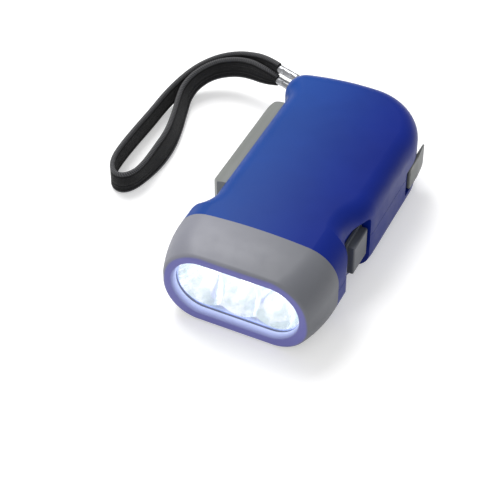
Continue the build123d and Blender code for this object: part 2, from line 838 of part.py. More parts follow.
def make_stator_bobbin():
    core = stator_boss_radius + glue_gap
    low = stator_low_z + claw_thickness
    high = stator_high_z - claw_thickness
    reach = stator_radius - claw_thickness - 0.3
    bobbin = tube(rotor_axis, core + coil_wall, core, low, high)
    bobbin += tube(rotor_axis, reach, core, low, low + coil_flange)
    bobbin += tube(rotor_axis, reach, core, high - coil_flange, high)
    return bobbin


def make_stator_coil():
    core = stator_boss_radius + glue_gap + coil_wall
    low = stator_low_z + claw_thickness + coil_flange
    high = stator_high_z - claw_thickness - coil_flange
    return tube(rotor_axis, stator_radius - claw_thickness - 0.9, core, low, high)


# ---------------------------------------------------------------- squeeze lever
def make_squeeze_lever():
    """The grip outside the casing, its web with the toothed sector, and the catch for the lock."""
    outer = grown_outline(grip_clearance)
    strip = make_face(
        Polyline(
            (-lever_side_half + 1, grip_front_y),
            (-grip_half_width + 3.2, grip_front_y),
            (-grip_half_width, grip_front_y + 4.6),
            (-grip_half_width, grip_rear_y - 3.2),
            (-grip_half_width + 2.6, grip_rear_y),
            (-lever_side_half + 1, grip_rear_y),
            (-lever_side_half + 1, grip_front_y),
        )
    )
    grip = extrude(Pos(0, 0, grip_low_z) * strip, grip_high_z - grip_low_z)
    outer_edges = grip.edges().filter_by(
        lambda edge: abs(edge.center().X + grip_half_width) < 0.01 and abs(edge.center().Z - parting_z) > 5
    )
    grip = fillet(outer_edges, min(grip_round, 0.9 * (grip_half_width - lever_side_half)))
    grip -= extrude(outer, thickness)
    hollow = block(
        (-grip_half_width + grip_wall, -lever_side_half + 1),
        (grip_front_y + grip_wall + 2.6, catch_front_y + catch_width + 2.2),
        (grip_low_z + grip_wall + 1.6, grip_high_z - grip_wall - 1.6),
    )
    grip -= hollow
    web_edges = Polyline(
        pivot,
        away(pivot, 11.0, 121.0),
        (-grip_half_width + grip_wall, grip_front_y + grip_wall + 2.6),
        (-grip_half_width + grip_wall / 2, web_rear_y),
        (-lever_side_half - grip_clearance, web_rear_y),
        away(pivot, 14.5, 70.0),
        pivot,
    )
    web = extrude(make_face(web_edges), web_thickness)
    teeth_before = 5
    teeth_after = 1
    edges, first_foot, last_foot = gear_edges(
        sector_teeth, sector_module, wheel_addendum, wheel_dedendum, teeth_before + teeth_after + 1
    )
    edges += [Line(last_foot, (0, 0)), Line((0, 0), first_foot)]
    pitch_turn = 360 / sector_teeth
    sector = extrude(make_face(edges), web_thickness)
    web += Pos(pivot_x, pivot_y, 0) * Rot(0, 0, first_gear_angle - teeth_before * pitch_turn) * sector
    web = Pos(0, 0, web_low_z) * web
    web_z = (web_low_z, web_high_z)
    catch = block((-grip_half_width + grip_wall / 2, catch_tip_x), (catch_front_y, catch_rear_y), web_z)
    catch += block((catch_tip_x - barb_width, catch_tip_x), (catch_rear_y, catch_rear_y + barb_length), web_z)
    lever = grip + web + catch
    lever += rod(pivot, lever_boss_radius, web_low_z - 0.3, web_high_z + 0.3)
    lever += rod(pivot, spring_coil_radius - spring_wire_radius - 0.4, web_high_z, lever_boss_high_low - end_gap)
    return lever - rod(pivot, lever_pin_radius + running_clearance, -1, far)


def make_lever_spring():
    """The torsion spring round the lever's hub: close turns and two legs."""
    low_z = web_high_z + 0.3 + spring_wire_radius + 0.15
    height = spring_turns * spring_pitch
    coil_path = Helix(pitch=spring_pitch, height=height, radius=spring_coil_radius)
    start = coil_path @ 0
    coil = sweep(Plane(origin=start, z_dir=coil_path % 0) * Circle(spring_wire_radius), path=coil_path, is_frenet=True)
    low_leg = extrude(Plane(origin=start, z_dir=-(coil_path % 0)) * Circle(spring_wire_radius), spring_leg)
    end = coil_path @ 1
    high_leg = extrude(Plane(origin=end, z_dir=coil_path % 1) * Circle(spring_wire_radius), spring_leg)
    spring = coil + low_leg + high_leg
    return Pos(pivot_x, pivot_y, low_z) * Rot(0, 0, spring_angle) * spring


# ---------------------------------------------------------------- switch, lock, electrics
def make_switch_knob():
    """The slider: a flange in the pocket, a raised block for the thumb and a stem through the wall."""
    flange_low_x = pocket_floor_half + 0.2
    knob_low_x = flange_low_x + flange_thickness
    middle_z = knob_middle_z
    body = block(
        (flange_low_x, knob_low_x),
        (slider_front_y, slider_front_y + flange_length),
        (middle_z - flange_height / 2, middle_z + flange_height / 2),
    )
    pad = block(
        (knob_low_x, knob_reach),
        (knob_front_y, knob_front_y + knob_length),
        (knob_low_z, knob_low_z + knob_height),
    )
    pad = fillet(pad.edges().group_by(Axis.X)[-1], knob_bevel)
    stem = block(
        (pocket_floor_half - wall - switch_body_depth / 2, flange_low_x),
        (knob_middle_y - switch_stem[0] / 2, knob_middle_y + switch_stem[0] / 2),
        (middle_z - switch_stem[1] / 2, middle_z + switch_stem[1] / 2),
    )
    return body + pad + stem


def make_switch_body():
    """The slide switch on the inside of the wall, open where the knob's stem enters."""
    high_x = pocket_floor_half - wall - joint_clearance
    low_x = high_x - switch_body_depth
    front = knob_middle_y - switch_body_length / 2 - switch_travel / 2
    case = block(
        (low_x, high_x),
        (front, front + switch_body_length),
        (knob_middle_z - switch_body_height / 2, knob_middle_z + switch_body_height / 2),
    )
    well = block(
        (high_x - switch_body_depth / 2 - 0.4, far),
        (knob_middle_y - switch_stem[0] / 2 - switch_travel - 0.4, knob_middle_y + switch_stem[0] / 2 + 0.4),
        (knob_middle_z - switch_stem[1] / 2 - 0.4, knob_middle_z + switch_stem[1] / 2 + 0.4),
    )
    return case - well


def make_lever_lock():
    """The lock slide: outside tab, stem through the wall, bar across the casing and its finger."""
    tab_high_x = lock_tab_low_x + lock_tab_thickness
    tab = block((lock_tab_low_x, tab_high_x), (lock_tab_front_y, lock_tab_rear_y), lock_tab_z)
    tab = fillet(tab.edges().filter_by(Axis.X), 1.2)
    tab = chamfer(tab.edges().group_by(Axis.X)[-1], 0.35)
    taper_end = lock_tab_rear_y + 0.5
    taper = make_face(
        Polyline(
            (tab_high_x + 0.01, lock_tab_rear_y - lock_tab_length / 2),
            (tab_high_x - lock_tab_taper, taper_end),
            (tab_high_x + 5, taper_end),
            close=True,
        )
    )
    tab -= extrude(taper, far)
    inner_x = body_half_width - lock_stem_reach
    bar_z = (lock_low_z, lock_low_z + lock_bar_thickness)
    stem = block((inner_x, lock_tab_low_x), (lock_stem_front_y, lock_stem_rear_y), bar_z)
    barb_low_x = catch_tip_x - barb_width
    finger_high_x = barb_low_x - lock_finger_gap
    finger_low_x = finger_high_x - lock_finger_width
    bar = block(
        (finger_low_x, inner_x + 1),
        (lock_bar_front_y, lock_bar_front_y + lock_bar_width),
        bar_z,
    )
    finger_front_y = catch_rear_y + barb_length + 0.6
    finger = block(
        (finger_low_x, finger_high_x),
        (finger_front_y, lock_bar_front_y + lock_bar_width),
        (lock_low_z, web_high_z - 0.2),
    )
    return tab + stem + bar + finger


def make_charge_board():
    return block(
        (charge_board_x - charge_board_width / 2, charge_board_x + charge_board_width / 2),
        (charge_board_y - charge_board_length / 2, charge_board_y + charge_board_length / 2),
        (charge_board_low_z, charge_board_low_z + board_thickness),
    )


cell_low_z = charge_board_low_z + board_thickness
cell_place = (charge_board_x - 4.0, charge_board_y)


def make_battery_cell():
    cell = rod(cell_place, cell_radius, cell_low_z, cell_low_z + cell_thickness)
    return chamfer(cell.edges(), 0.3)


def make_battery_clip():
    """A spring strip bent over the cell, with a foot at each side."""
    reach = cell_radius + 0.4
    top_z = cell_low_z + cell_thickness + joint_clearance
    y_span = (cell_place[1] - clip_width / 2, cell_place[1] + clip_width / 2)
    outer_reach = reach + clip_thickness
    clip = block((cell_place[0] - outer_reach, cell_place[0] + outer_reach), y_span, (top_z, top_z + clip_thickness))
    for side in (-1, 1):
        inner = cell_place[0] + side * reach
        outer = inner + side * clip_thickness
        clip += block((inner, outer), y_span, (cell_low_z, top_z + clip_thickness))
    return clip


def make_diodes():
    """Four rectifier diodes in a row on the board."""
    parts = []
    for k in range(4):
        y = charge_board_y - 4.8 + 3.2 * k
        x = charge_board_x + 9.6
        diode = Pos(x, y, cell_low_z + diode_radius) * Rot(0, 90, 0) * Cylinder(diode_radius, diode_length)
        parts.append(diode)
    return parts


def screw(place):
    low_z = screw_recess
    body = rod(place, screw_head_radius, low_z, low_z + screw_head_height)
    body += rod(place, screw_radius, low_z + screw_head_height, low_z + screw_head_height + screw_length)
    slot = block((place[0] - 1.3, place[0] + 1.3), (place[1] - 0.25, place[1] + 0.25), (low_z - 1, low_z + 0.7))
    cross = block((place[0] - 0.25, place[0] + 0.25), (place[1] - 1.3, place[1] + 1.3), (low_z - 1, low_z + 0.7))
    return body - slot - cross


# ---------------------------------------------------------------- wrist strap
def strap_stations(steps):
    """Points and plan headings along the smooth curve that the route's points steer.

    Each inner point steers one quadratic arc between the middles of its two runs.
    """
    points = [Vector(*point) for point in strap_route]
    joints = [points[0]]
    joints += [(points[i] + points[i + 1]) * 0.5 for i in range(1, len(points) - 2)]
    joints.append(points[-1])
    stations = []
    for i in range(len(joints) - 1):
        start, steer, end = joints[i], points[i + 1], joints[i + 1]
        last = i == len(joints) - 2
        for k in range(steps + 1 if last else steps):
            t = k / steps
            place = start * (1 - t) ** 2 + steer * (2 * t * (1 - t)) + end * t**2
            heading = (steer - start) * (1 - t) + (end - steer) * t
            stations.append((place, Vector(heading.X, heading.Y, 0).normalized()))
    return stations


def make_strap_band():
    """The flat strap on edge: upright rectangles lofted along the route, narrow at both ends."""
    stations = strap_stations(2)
    walked = [0.0]
    for (before, _), (after, _) in zip(stations, stations[1:]):
        walked.append(walked[-1] + (after - before).length)
    total = walked[-1]
    ferrule_way = Vector(*away((0, 0), 1, ferrule_heading))
    stations[0] = (stations[0][0], -ferrule_way)
    stations[-1] = (stations[-1][0], ferrule_way)
    sections = []
    for (place, heading), distance in zip(stations, walked):
        share = min(distance, total - distance, strap_taper) / strap_taper
        width = strap_end_width + (strap_width - strap_end_width) * share * (2 - share)
        across = Vector(-heading.Y, heading.X, 0)
        plane = Plane(origin=place, x_dir=across, z_dir=heading)
        sections.append(plane * Rectangle(strap_thickness, width))
    return loft(sections, ruled=True)


def ferrule_ends(strap_end):
    """The two ends of a ferrule: at the strap and, towards the casing, at the cord."""
    inner = away((strap_end[0], strap_end[1]), ferrule_length, ferrule_heading)
    return Vector(*strap_end), Vector(inner[0], inner[1], strap_end[2])


def make_ferrules():
    """The two crimped sleeves that join the strap's ends to the thin cord."""
    sleeves = []
    for strap_end in (strap_route[0], strap_route[-1]):
        outer_end, inner_end = ferrule_ends(strap_end)
        axis = Plane(origin=outer_end, z_dir=inner_end - outer_end)
        sleeve = extrude(axis * Circle(ferrule_radius), ferrule_length)
        sleeve = fillet(sleeve.edges().filter_by(GeomType.CIRCLE), 0.3)
        cord_socket = extrude(axis.offset(ferrule_length - 4.0) * Circle(strap_cord_radius), 5.0)
        sleeves.append(sleeve - cord_socket)
    return sleeves


def strap_place(outwards, sideways, z):
    """A point by its distance out of the strap corner's centre and sideways of the strap's way."""
    middle = away(strap_corner, outwards, strap_angle)
    place = away(middle, sideways, strap_angle + 90)
    return (place[0], place[1], z)


def make_strap_cord():
    """The thin cord from the upper ferrule round the post in the corner to the lower ferrule."""
    side = strap_post_radius + strap_cord_radius + strap_cord_gap
    upper = ferrule_ends(strap_route[0])[1]
    lower = ferrule_ends(strap_route[-1])[1]
    straight = Vector(math.cos(math.radians(ferrule_heading)), math.sin(math.radians(ferrule_heading)), 0)
    mouth = strap_corner_round + 1.6
    back = strap_post_reach - side
    route = [
        upper - straight * 3.0,
        upper + straight * 2.2,
        Vector(*strap_place(mouth, -side, parting_z + 0.3)),
        Vector(*strap_place(back, -side, parting_z)),
        Vector(*strap_place(back, side, parting_z)),
        Vector(*strap_place(mouth, side, parting_z - 0.3)),
        lower + straight * 2.2,
        lower - straight * 3.0,
    ]
    path = FilletPolyline(*route, radius=[1.8, 2.2, side - 0.02, side - 0.02, 2.2, 1.8])
    start = Plane(origin=path @ 0, z_dir=path % 0)
    return sweep(start * Circle(strap_cord_radius), path=path, transition=Transition.ROUND)


# ---------------------------------------------------------------- export
def save(name, shape):
    """Write one node; a list becomes one file of separate solids."""
    if isinstance(shape, list):
        solids = [solid for part in shape for solid in part.solids()]
    else:
        solids = list(shape.solids())
    body = solids[0] if len(solids) == 1 else Compound(children=solids)
    print(f"{name}: {len(solids)} solid(s), {sum(s.volume for s in solids):.1f} mm3")
    export_step(body, f"parts/{name}.step")


os.makedirs("parts", exist_ok=True)
save("bottom_shell", make_bottom_shell())
save("top_shell", make_top_shell())
save("head_bezel", make_head_bezel())
save("lens", make_lens())
save("reflector", make_reflector())
for lamp_x, lamp_name in lamp_places():
    save(lamp_name, make_lamp(lamp_x))
save("led_board", make_led_board())
save("charge_board", make_charge_board())
save("battery_cell", make_battery_cell())
save("battery_clip", make_battery_clip())
save("diodes", make_diodes())
save("switch_body", make_switch_body())
save("switch_knob", make_switch_knob())
save("squeeze_lever", make_squeeze_lever())
save("lever_pin", rod(pivot, lever_pin_radius, wall + 1.3, side_top - wall - 1.3))
save("lever_spring", make_lever_spring())
save("first_gear", make_first_gear())
save("first_axle", rod(first_axis, gear_axle_radius, wall + 1.3, side_top - wall - 1.3))
save("second_gear", make_second_gear())
save("second_axle", rod(second_axis, gear_axle_radius, wall + 0.7, first_wheel_high_z + 0.4))
save("rotor", make_rotor())
save("ring_magnet", make_ring_magnet())
save("rotor_axle", rod(rotor_axis, rotor_axle_radius, wall + 0.7, side_top - wall - 1.3))
claw_reach = claw_thickness + 0.3
save("claw_plate_lower", claw_plate(stator_low_z, stator_low_z + claw_thickness, stator_high_z - claw_reach, 0))
save("claw_plate_upper", claw_plate(stator_high_z - claw_thickness, stator_high_z, stator_low_z + claw_reach, 30))
save("stator_bobbin", make_stator_bobbin())
save("stator_coil", make_stator_coil())
save("lever_lock", make_lever_lock())
save("case_screws", [screw(place) for place in screw_places])
save("strap_post", rod(strap_post_place, strap_post_radius, wall + 1.3, side_top - wall - 1.3))
save("strap_cord", make_strap_cord())
save("strap_ferrules", make_ferrules())
save("strap_band", make_strap_band())
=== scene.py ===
# %% [markdown]
# # A squeeze-lever torch with a wrist strap
#
# The CAD model brings every hard piece in its right place. This file gives those pieces their
# finishes, makes the soft strap and its cord, lights the lamps and sets up a small photo studio.
# The torch lies on its flat side with the beam along -Y. Blender works in metres, so most sizes
# here are written in millimetres and multiplied by MM.

# %% Load the frame
import math

import bpy
import numpy as np
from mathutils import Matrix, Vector


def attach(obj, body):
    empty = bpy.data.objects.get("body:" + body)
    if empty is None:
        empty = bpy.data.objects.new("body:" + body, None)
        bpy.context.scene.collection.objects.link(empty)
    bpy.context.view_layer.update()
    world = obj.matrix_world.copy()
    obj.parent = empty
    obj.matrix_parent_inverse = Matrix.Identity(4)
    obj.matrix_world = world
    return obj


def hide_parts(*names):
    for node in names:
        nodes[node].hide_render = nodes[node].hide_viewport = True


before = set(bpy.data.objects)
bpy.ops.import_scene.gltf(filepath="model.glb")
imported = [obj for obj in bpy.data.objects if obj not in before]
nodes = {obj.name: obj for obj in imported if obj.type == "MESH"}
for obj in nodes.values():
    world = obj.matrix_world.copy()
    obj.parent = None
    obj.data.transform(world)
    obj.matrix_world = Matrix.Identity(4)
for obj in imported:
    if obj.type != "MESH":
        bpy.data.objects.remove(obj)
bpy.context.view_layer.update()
MM = 0.001


# %% [markdown]
# ## The camera
#
# The photograph looks down on the torch from the front right, about 44 degrees up, through a
# long lens. A camera could be turned by three angles, but it is easier to aim by a target point
# and a direction back from it. The strap has to be in view, so the camera comes before anything
# is made.

# %% Camera
SENSOR_WIDTH = 36.0
PICTURE_PIXELS = 500
FOCAL_PIXELS = 1680
CAMERA_DISTANCE = 0.6
camera_data = bpy.data.cameras.new("photo_camera")
camera_data.sensor_width = SENSOR_WIDTH
camera_data.lens = FOCAL_PIXELS / PICTURE_PIXELS * SENSOR_WIDTH
camera_data.clip_start = 0.01
camera_data.dof.use_dof = False
camera = bpy.data.objects.new("photo_camera", camera_data)
bpy.context.scene.collection.objects.link(camera)
bpy.context.scene.camera = camera
target = Vector((-18.32, -2.62, -12.99)) * MM
back = Vector((0.3112, -0.6503, 0.6930)).normalized()
camera.location = target + back * CAMERA_DISTANCE
camera.rotation_euler = back.to_track_quat("Z", "Y").to_euler()
print("lens in mm:", round(camera_data.lens, 2))

# %% [markdown]
# ## Surfaces from numbers
#
# The new pieces here are grids of points: one parameter runs along the piece and the other round
# its section. They could be modelled by hand, face by face, but numpy works out a whole grid at
# once, and one function turns any such grid into a closed mesh with a UV map. The UV map counts
# millimetres along and round the piece, so a woven pattern keeps its real size.


# %% Grid to mesh
def surface_piece(name, points, along, around):
    """A closed tube-like mesh from a grid of points.

    points[i, j] is station i along the piece and place j round its section. Face (i, j) joins
    stations i and i + 1 and places j and j + 1, the last place joins the first, and one flat face
    closes each end. along[i] and around[j] are the UV coordinates in millimetres.
    """
    rows, columns = points.shape[:2]
    index = np.arange(rows * columns).reshape(rows, columns)
    beside = np.roll(index, -1, axis=1)
    quads = np.stack([index[:-1], beside[:-1], beside[1:], index[1:]], axis=-1).reshape(-1, 4)
    mesh = bpy.data.meshes.new(name)
    caps = [index[0, ::-1].tolist(), index[-1].tolist()]
    mesh.from_pydata(points.reshape(-1, 3).tolist(), [], quads.tolist() + caps)
    u = np.repeat(along[:, None], columns + 1, axis=1)
    v = np.repeat(around[None, :], rows, axis=0)
    i, j = np.meshgrid(np.arange(rows - 1), np.arange(columns), indexing="ij")
    corners = [(i, j), (i, j + 1), (i + 1, j + 1), (i + 1, j)]
    quad_uv = np.stack([np.stack([u[a, b], v[a, b]], -1) for a, b in corners], axis=2).reshape(-1, 2)
    cap_uv = np.zeros((2 * columns, 2))
    layer = mesh.uv_layers.new(name="millimetres")
    layer.uv.foreach_set("vector", np.vstack([quad_uv, cap_uv]).astype(np.float32).ravel())
    mesh.shade_smooth()
    piece = bpy.data.objects.new(name, mesh)
    bpy.context.scene.collection.objects.link(piece)
    return piece


# %% [markdown]
# ## The strap's route
#
# The strap is one flat tape that leaves the upper metal sleeve, runs round the loop on its edge
# and comes back to the lower sleeve. These points steer its middle line, and they are the CAD
# source's points, with some moved by less than 2 mm to follow the photograph. Straight runs with
# rounded corners would look like bent wire, so the line is a NURBS curve. Blender works it out,
# and the points read from it are then spaced evenly.

# %% Route points
strap_route = [
    (-36.2, 60.4, 18.5), (-42.6, 62.5, 16.6), (-49.4, 64.4, 14.5), (-56.2, 64.8, 12.5),
    (-63.6, 62.2, 10.1), (-69.3, 56.2, 7.8), (-72.4, 48.6, 6.0), (-74.0, 39.5, 4.9),
    (-74.1, 29.5, 4.6), (-74.5, 18.5, 4.55), (-74.6, 7.5, 4.55), (-73.9, -1.0, 4.55),
    (-70.8, -7.0, 4.55), (-66.6, -8.0, 4.55), (-63.3, -4.2, 4.55), (-62.0, 3.5, 4.55),
    (-61.7, 12.0, 4.55), (-62.2, 21.0, 4.55), (-64.5, 31.0, 4.55), (-67.2, 40.0, 4.9),
    (-68.9, 47.4, 5.8), (-67.6, 53.9, 7.6), (-63.2, 59.4, 9.8), (-55.9, 62.0, 11.9),
    (-48.9, 61.8, 13.2), (-42.4, 60.2, 13.6), (-36.4, 59.7, 13.5),
]


def smooth_line(name, route, step):
    """Even points on the quadratic NURBS curve that the route steers, and their distances along it."""
    curve = bpy.data.curves.new(name, "CURVE")
    curve.dimensions = "3D"
    curve.resolution_u = 24
    spline = curve.splines.new("NURBS")
    spline.points.add(len(route) - 1)
    control = np.ones((len(route), 4))
    control[:, :3] = np.array(route) * MM
    spline.points.foreach_set("co", control.ravel())
    spline.order_u = 3
    spline.use_endpoint_u = True
    holder = bpy.data.objects.new(name, curve)
    line_mesh = bpy.data.meshes.new_from_object(holder)
    line = np.empty(len(line_mesh.vertices) * 3)
    line_mesh.vertices.foreach_get("co", line)
    line = line.reshape(-1, 3)
    bpy.data.objects.remove(holder)
    bpy.data.meshes.remove(line_mesh)
    walked = np.concatenate([[0], np.cumsum(np.linalg.norm(np.diff(line, axis=0), axis=1))])
    count = int(round(walked[-1] / step)) + 1
    even = np.linspace(0, walked[-1], count)
    return np.stack([np.interp(even, walked, line[:, k]) for k in range(3)], axis=1), even


STRAP_STEP = 0.42 * MM
strap_line, strap_walked = smooth_line("strap_line", strap_route, STRAP_STEP)
print("strap length in mm:", round(strap_walked[-1] / MM, 1), "from", len(strap_route), "points")

# %% [markdown]
# ## The strap
#
# A woven tape is thickest along its two edges, where a rolled hem is stitched down, and its flat
# sides carry a few soft lengthwise creases where it bends. The section is a rounded rectangle with
# the hems, the stitch valleys and the creases added to its thickness. It narrows at both ends,
# where the sleeves pinch it, and the near leg leans outward, so its outer face shows more. A cloth
# simulation could bend a flat strip, but it wouldn't keep the loop that the photograph shows.

# %% Strap sizes, in mm
STRAP_WIDTH = 9.0
STRAP_HALF_WIDTH = STRAP_WIDTH / 2
STRAP_HALF_THICKNESS = 0.92
STRAP_END_HALF_WIDTH = 2.3
STRAP_TAPER = 12.0
STRAP_LEAN = math.radians(21)
LEAN_GROWS = (110, 130)  # distances along the tape
LEAN_FADES = (156, 178)
ABOVE_TABLE = 0.02
SECTION_POINTS = 96
EDGE_POWER = 0.62  # how round the two edges are
FACE_POWER = 0.4  # how flat the two faces are
FACE_LEVEL = 0.88  # the thickness between the hems, as a share
HEM_RISE, HEM_INSET, HEM_REACH = 0.2, 0.7, 0.5
STITCH_DEPTH, STITCH_INSET, STITCH_REACH = 0.26, 1.55, 0.2
# each crease: level across the tape (-1 to 1), depth as a share of the half thickness, width,
# and its middle and reach along the tape
STRAP_CREASES = (
    (-0.26, 0.26, 0.26, 103.0, 15.0), (-0.52, 0.22, 0.22, 107.0, 12.0),
    (-0.22, 0.32, 0.28, 184.0, 26.0), (-0.50, 0.30, 0.24, 180.0, 22.0),
    (0.16, 0.22, 0.30, 193.0, 14.0), (-0.30, 0.26, 0.28, 14.0, 20.0),
    (0.10, 0.14, 0.34, 62.0, 18.0), (-0.35, 0.12, 0.30, 140.0, 16.0),
)


# %% Strap surface
def bell(value, middle, reach):
    """The bell curve exp(-((value - middle) / reach)^2)."""
    return np.exp(-(((value - middle) / reach) ** 2))


def ease(value, low, high):
    """The smooth step 3t^2 - 2t^3, with t the clipped share of value between low and high."""
    share = np.clip((value - low) / (high - low), 0, 1)
    return share * share * (3 - 2 * share)


def signed_power(wave, power):
    """sign(wave)*|wave|^power, which squares a circle's corners when the power is under 1."""
    return np.sign(wave) * np.abs(wave) ** power


def strap_surface(line, walked):
    """Points of the tape, and their levels across it from -1 to 1.

    At angle t the section is at height w*sign(cos t)*|cos t|^0.62 and at sideways place
    h*sign(sin t)*|sin t|^0.4 times a profile: 0.88, plus a bell for the hem, less a narrower bell
    for the stitch valley further in, and less the creases. The section then leans about the
    heading by an angle that eases in and out along the near leg, and it is lifted where it would
    dip below the table.
    """
    total = walked[-1]
    heading = np.gradient(line, axis=0)
    heading[:, 2] = 0
    heading /= np.linalg.norm(heading, axis=1)[:, None]
    side = np.stack([-heading[:, 1], heading[:, 0], np.zeros(len(line))], axis=1)
    share = np.clip(np.minimum(walked, total - walked) / (STRAP_TAPER * MM), 0, 1)
    half_width = STRAP_END_HALF_WIDTH + (STRAP_HALF_WIDTH - STRAP_END_HALF_WIDTH) * share * (2 - share)
    turn = np.linspace(0, 2 * math.pi, SECTION_POINTS, endpoint=False)
    across = signed_power(np.cos(turn), EDGE_POWER)
    aside = signed_power(np.sin(turn), FACE_POWER)
    height = half_width[:, None] * across[None, :]
    from_edge = half_width[:, None] - np.abs(height)
    profile = FACE_LEVEL + HEM_RISE * bell(from_edge, HEM_INSET, HEM_REACH)
    profile -= STITCH_DEPTH * bell(from_edge, STITCH_INSET, STITCH_REACH)
    place = walked[:, None] / MM
    for level, depth, width, middle, reach in STRAP_CREASES:
        fade = np.exp(-(((place - middle) / reach) ** 4))
        valley = bell(half_width[:, None] * (across[None, :] - level), 0, width)
        profile -= depth * fade * valley
    sideways = STRAP_HALF_THICKNESS * aside[None, :] * profile
    lean = STRAP_LEAN * ease(walked / MM, *LEAN_GROWS) * (1 - ease(walked / MM, *LEAN_FADES))
    tip, stand = np.sin(lean)[:, None], np.cos(lean)[:, None]
    out = sideways * stand + height * tip
    rise = height * stand - sideways * tip
    rise += np.maximum(0, ABOVE_TABLE - (line[:, 2] / MM + rise.min(axis=1)))[:, None]
    points = line[:, None, :] + side[:, None, :] * (out * MM)[..., None]
    points[..., 2] += rise * MM
    return points, across


strap_points, strap_across = strap_surface(strap_line, strap_walked)
strap_around = STRAP_HALF_WIDTH * np.append(strap_across, strap_across[0])
wrist_strap = surface_piece("wrist_strap", strap_points, strap_walked / MM, strap_around)
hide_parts("strap_band")
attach(wrist_strap, "casing")
print("strap faces:", len(wrist_strap.data.polygons))

# %% [markdown]
# ## The metal sleeves
#
# Each end of the tape is joined to a thin cord by a small tube that is pressed in two places to
# grip both. A plain cylinder has no rolled mouths, so each sleeve is a profile turned round its
# middle line, and the two pressed waists squeeze it sideways. The cord goes into the open mouth
# at its inner end.

# %% Sleeve surface, in mm
SLEEVE_LENGTH = 9.0
SLEEVE_RADIUS = 1.5
SLEEVE_HEADING = math.radians(-17.5)
SLEEVE_SIDES = 48
SLEEVE_GIRTH = 9.4
PRESS_PLACES = (2.6, 6.4)
PRESS_REACH = 0.5
PRESS_DEPTH, PRESS_SPREAD = 0.20, 0.03
sleeve_way = np.array([math.cos(SLEEVE_HEADING), math.sin(SLEEVE_HEADING), 0.0])
sleeve_side = np.array([-sleeve_way[1], sleeve_way[0], 0.0])


def sleeve_surface(strap_end):
    """Points of one sleeve, and their distances along it.

    The profile lists (distance along, radius) from the mouth at the tape, over the outside and
    into the mouth at the cord. A waist at distance c presses the section: its sideways radius is
    multiplied by 1 - 0.2*bell and its upright radius by 1 + 0.03*bell, with bell =
    exp(-((x - c)/0.5)^2).
    """
    end, rim = SLEEVE_LENGTH, SLEEVE_RADIUS
    profile = [(0.9, 0.05), (0.9, 1.05), (0.25, 1.1), (0.0, 1.2), (0.0, 1.35), (0.12, 1.47), (0.3, rim)]
    profile += [(x, rim) for x in np.arange(0.6, end - 0.5, 0.15)]
    profile += [(end - 0.3, rim), (end - 0.12, 1.47), (end, 1.35), (end, 1.2)]
    profile += [(end - 0.2, 1.0), (end - 1.4, 0.95), (end - 1.4, 0.05)]
    x, radius = np.array(profile).T
    turn = np.linspace(0, 2 * math.pi, SLEEVE_SIDES, endpoint=False)
    press = sum(bell(x, place, PRESS_REACH) for place in PRESS_PLACES)
    wide = radius * (1 - PRESS_DEPTH * press)
    tall = radius * (1 + PRESS_SPREAD * press)
    points = np.array(strap_end)[None, None, :] + x[:, None, None] * sleeve_way[None, None, :]
    points = points + (wide[:, None] * np.cos(turn)[None, :])[..., None] * sleeve_side[None, None, :]
    points[..., 2] += tall[:, None] * np.sin(turn)[None, :]
    return points * MM, x


sleeves = []
sleeve_around = np.linspace(0, SLEEVE_GIRTH, SLEEVE_SIDES + 1)
for sleeve_name, strap_end in (("upper_sleeve", strap_route[0]), ("lower_sleeve", strap_route[-1])):
    sleeve_points, sleeve_along = sleeve_surface(strap_end)
    sleeve = surface_piece(sleeve_name, sleeve_points[:, ::-1], sleeve_along, sleeve_around)
    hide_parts("strap_ferrules")
    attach(sleeve, "casing")
    sleeves.append(sleeve)
print("sleeves made:", len(sleeves))

# %% [markdown]
# ## The thin cord
#
# A thin twisted cord goes from the upper sleeve through a slot in the casing's corner, round a
# steel post inside and back out to the lower sleeve. Its three strands could be three tubes, but
# on a cord under two millimetres thick three soft ridges that wind round one tube look the same.

# %% Cord surface, in mm
CORD_RADIUS = 0.8
CORD_TWIST = 3.6
CORD_SIDES = 30
CORD_GIRTH = 5.0
STRANDS = 3
RIDGE = 0.07
TIE_STEP = 0.15
tie_route = [
    (-30.48, 58.60, 18.5), (-25.52, 57.03, 18.5), (-21.86, 52.62, 16.3), (-18.32, 47.67, 16.0),
    (-16.82, 45.48, 16.0), (-20.18, 43.12, 16.0), (-21.70, 45.32, 16.0), (-25.20, 50.30, 15.7),
    (-25.72, 56.33, 13.5), (-30.68, 57.90, 13.5),
]


def twisted_cord(line, walked, radius, pitch):
    """Points of a three-strand cord: radius*(0.93 + 0.07*cos(3*(t - 2*pi*s/pitch))) round the line."""
    heading = np.gradient(line, axis=0)
    heading /= np.linalg.norm(heading, axis=1)[:, None]
    side = np.cross(heading, np.array([0.0, 0.0, 1.0]))
    side /= np.linalg.norm(side, axis=1)[:, None]
    up = np.cross(side, heading)
    turn = np.linspace(0, 2 * math.pi, CORD_SIDES, endpoint=False)
    wave = turn[None, :] - 2 * math.pi * (walked / MM)[:, None] / pitch
    reach = radius * MM * (1 - RIDGE + RIDGE * np.cos(STRANDS * wave))
    return (
        line[:, None, :]
        + (reach * np.cos(turn))[..., None] * up[:, None, :]
        + (reach * np.sin(turn))[..., None] * side[:, None, :]
    )


tie_line, tie_walked = smooth_line("tie_line", tie_route, TIE_STEP * MM)
tie_points = twisted_cord(tie_line, tie_walked, CORD_RADIUS, CORD_TWIST)
cord_around = np.linspace(0, CORD_GIRTH, CORD_SIDES + 1)
strap_tie = surface_piece("strap_tie", tie_points[:, ::-1], tie_walked / MM, cord_around)
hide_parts("strap_cord")
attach(strap_tie, "casing")
print("cord length in mm:", round(tie_walked[-1] / MM, 1))
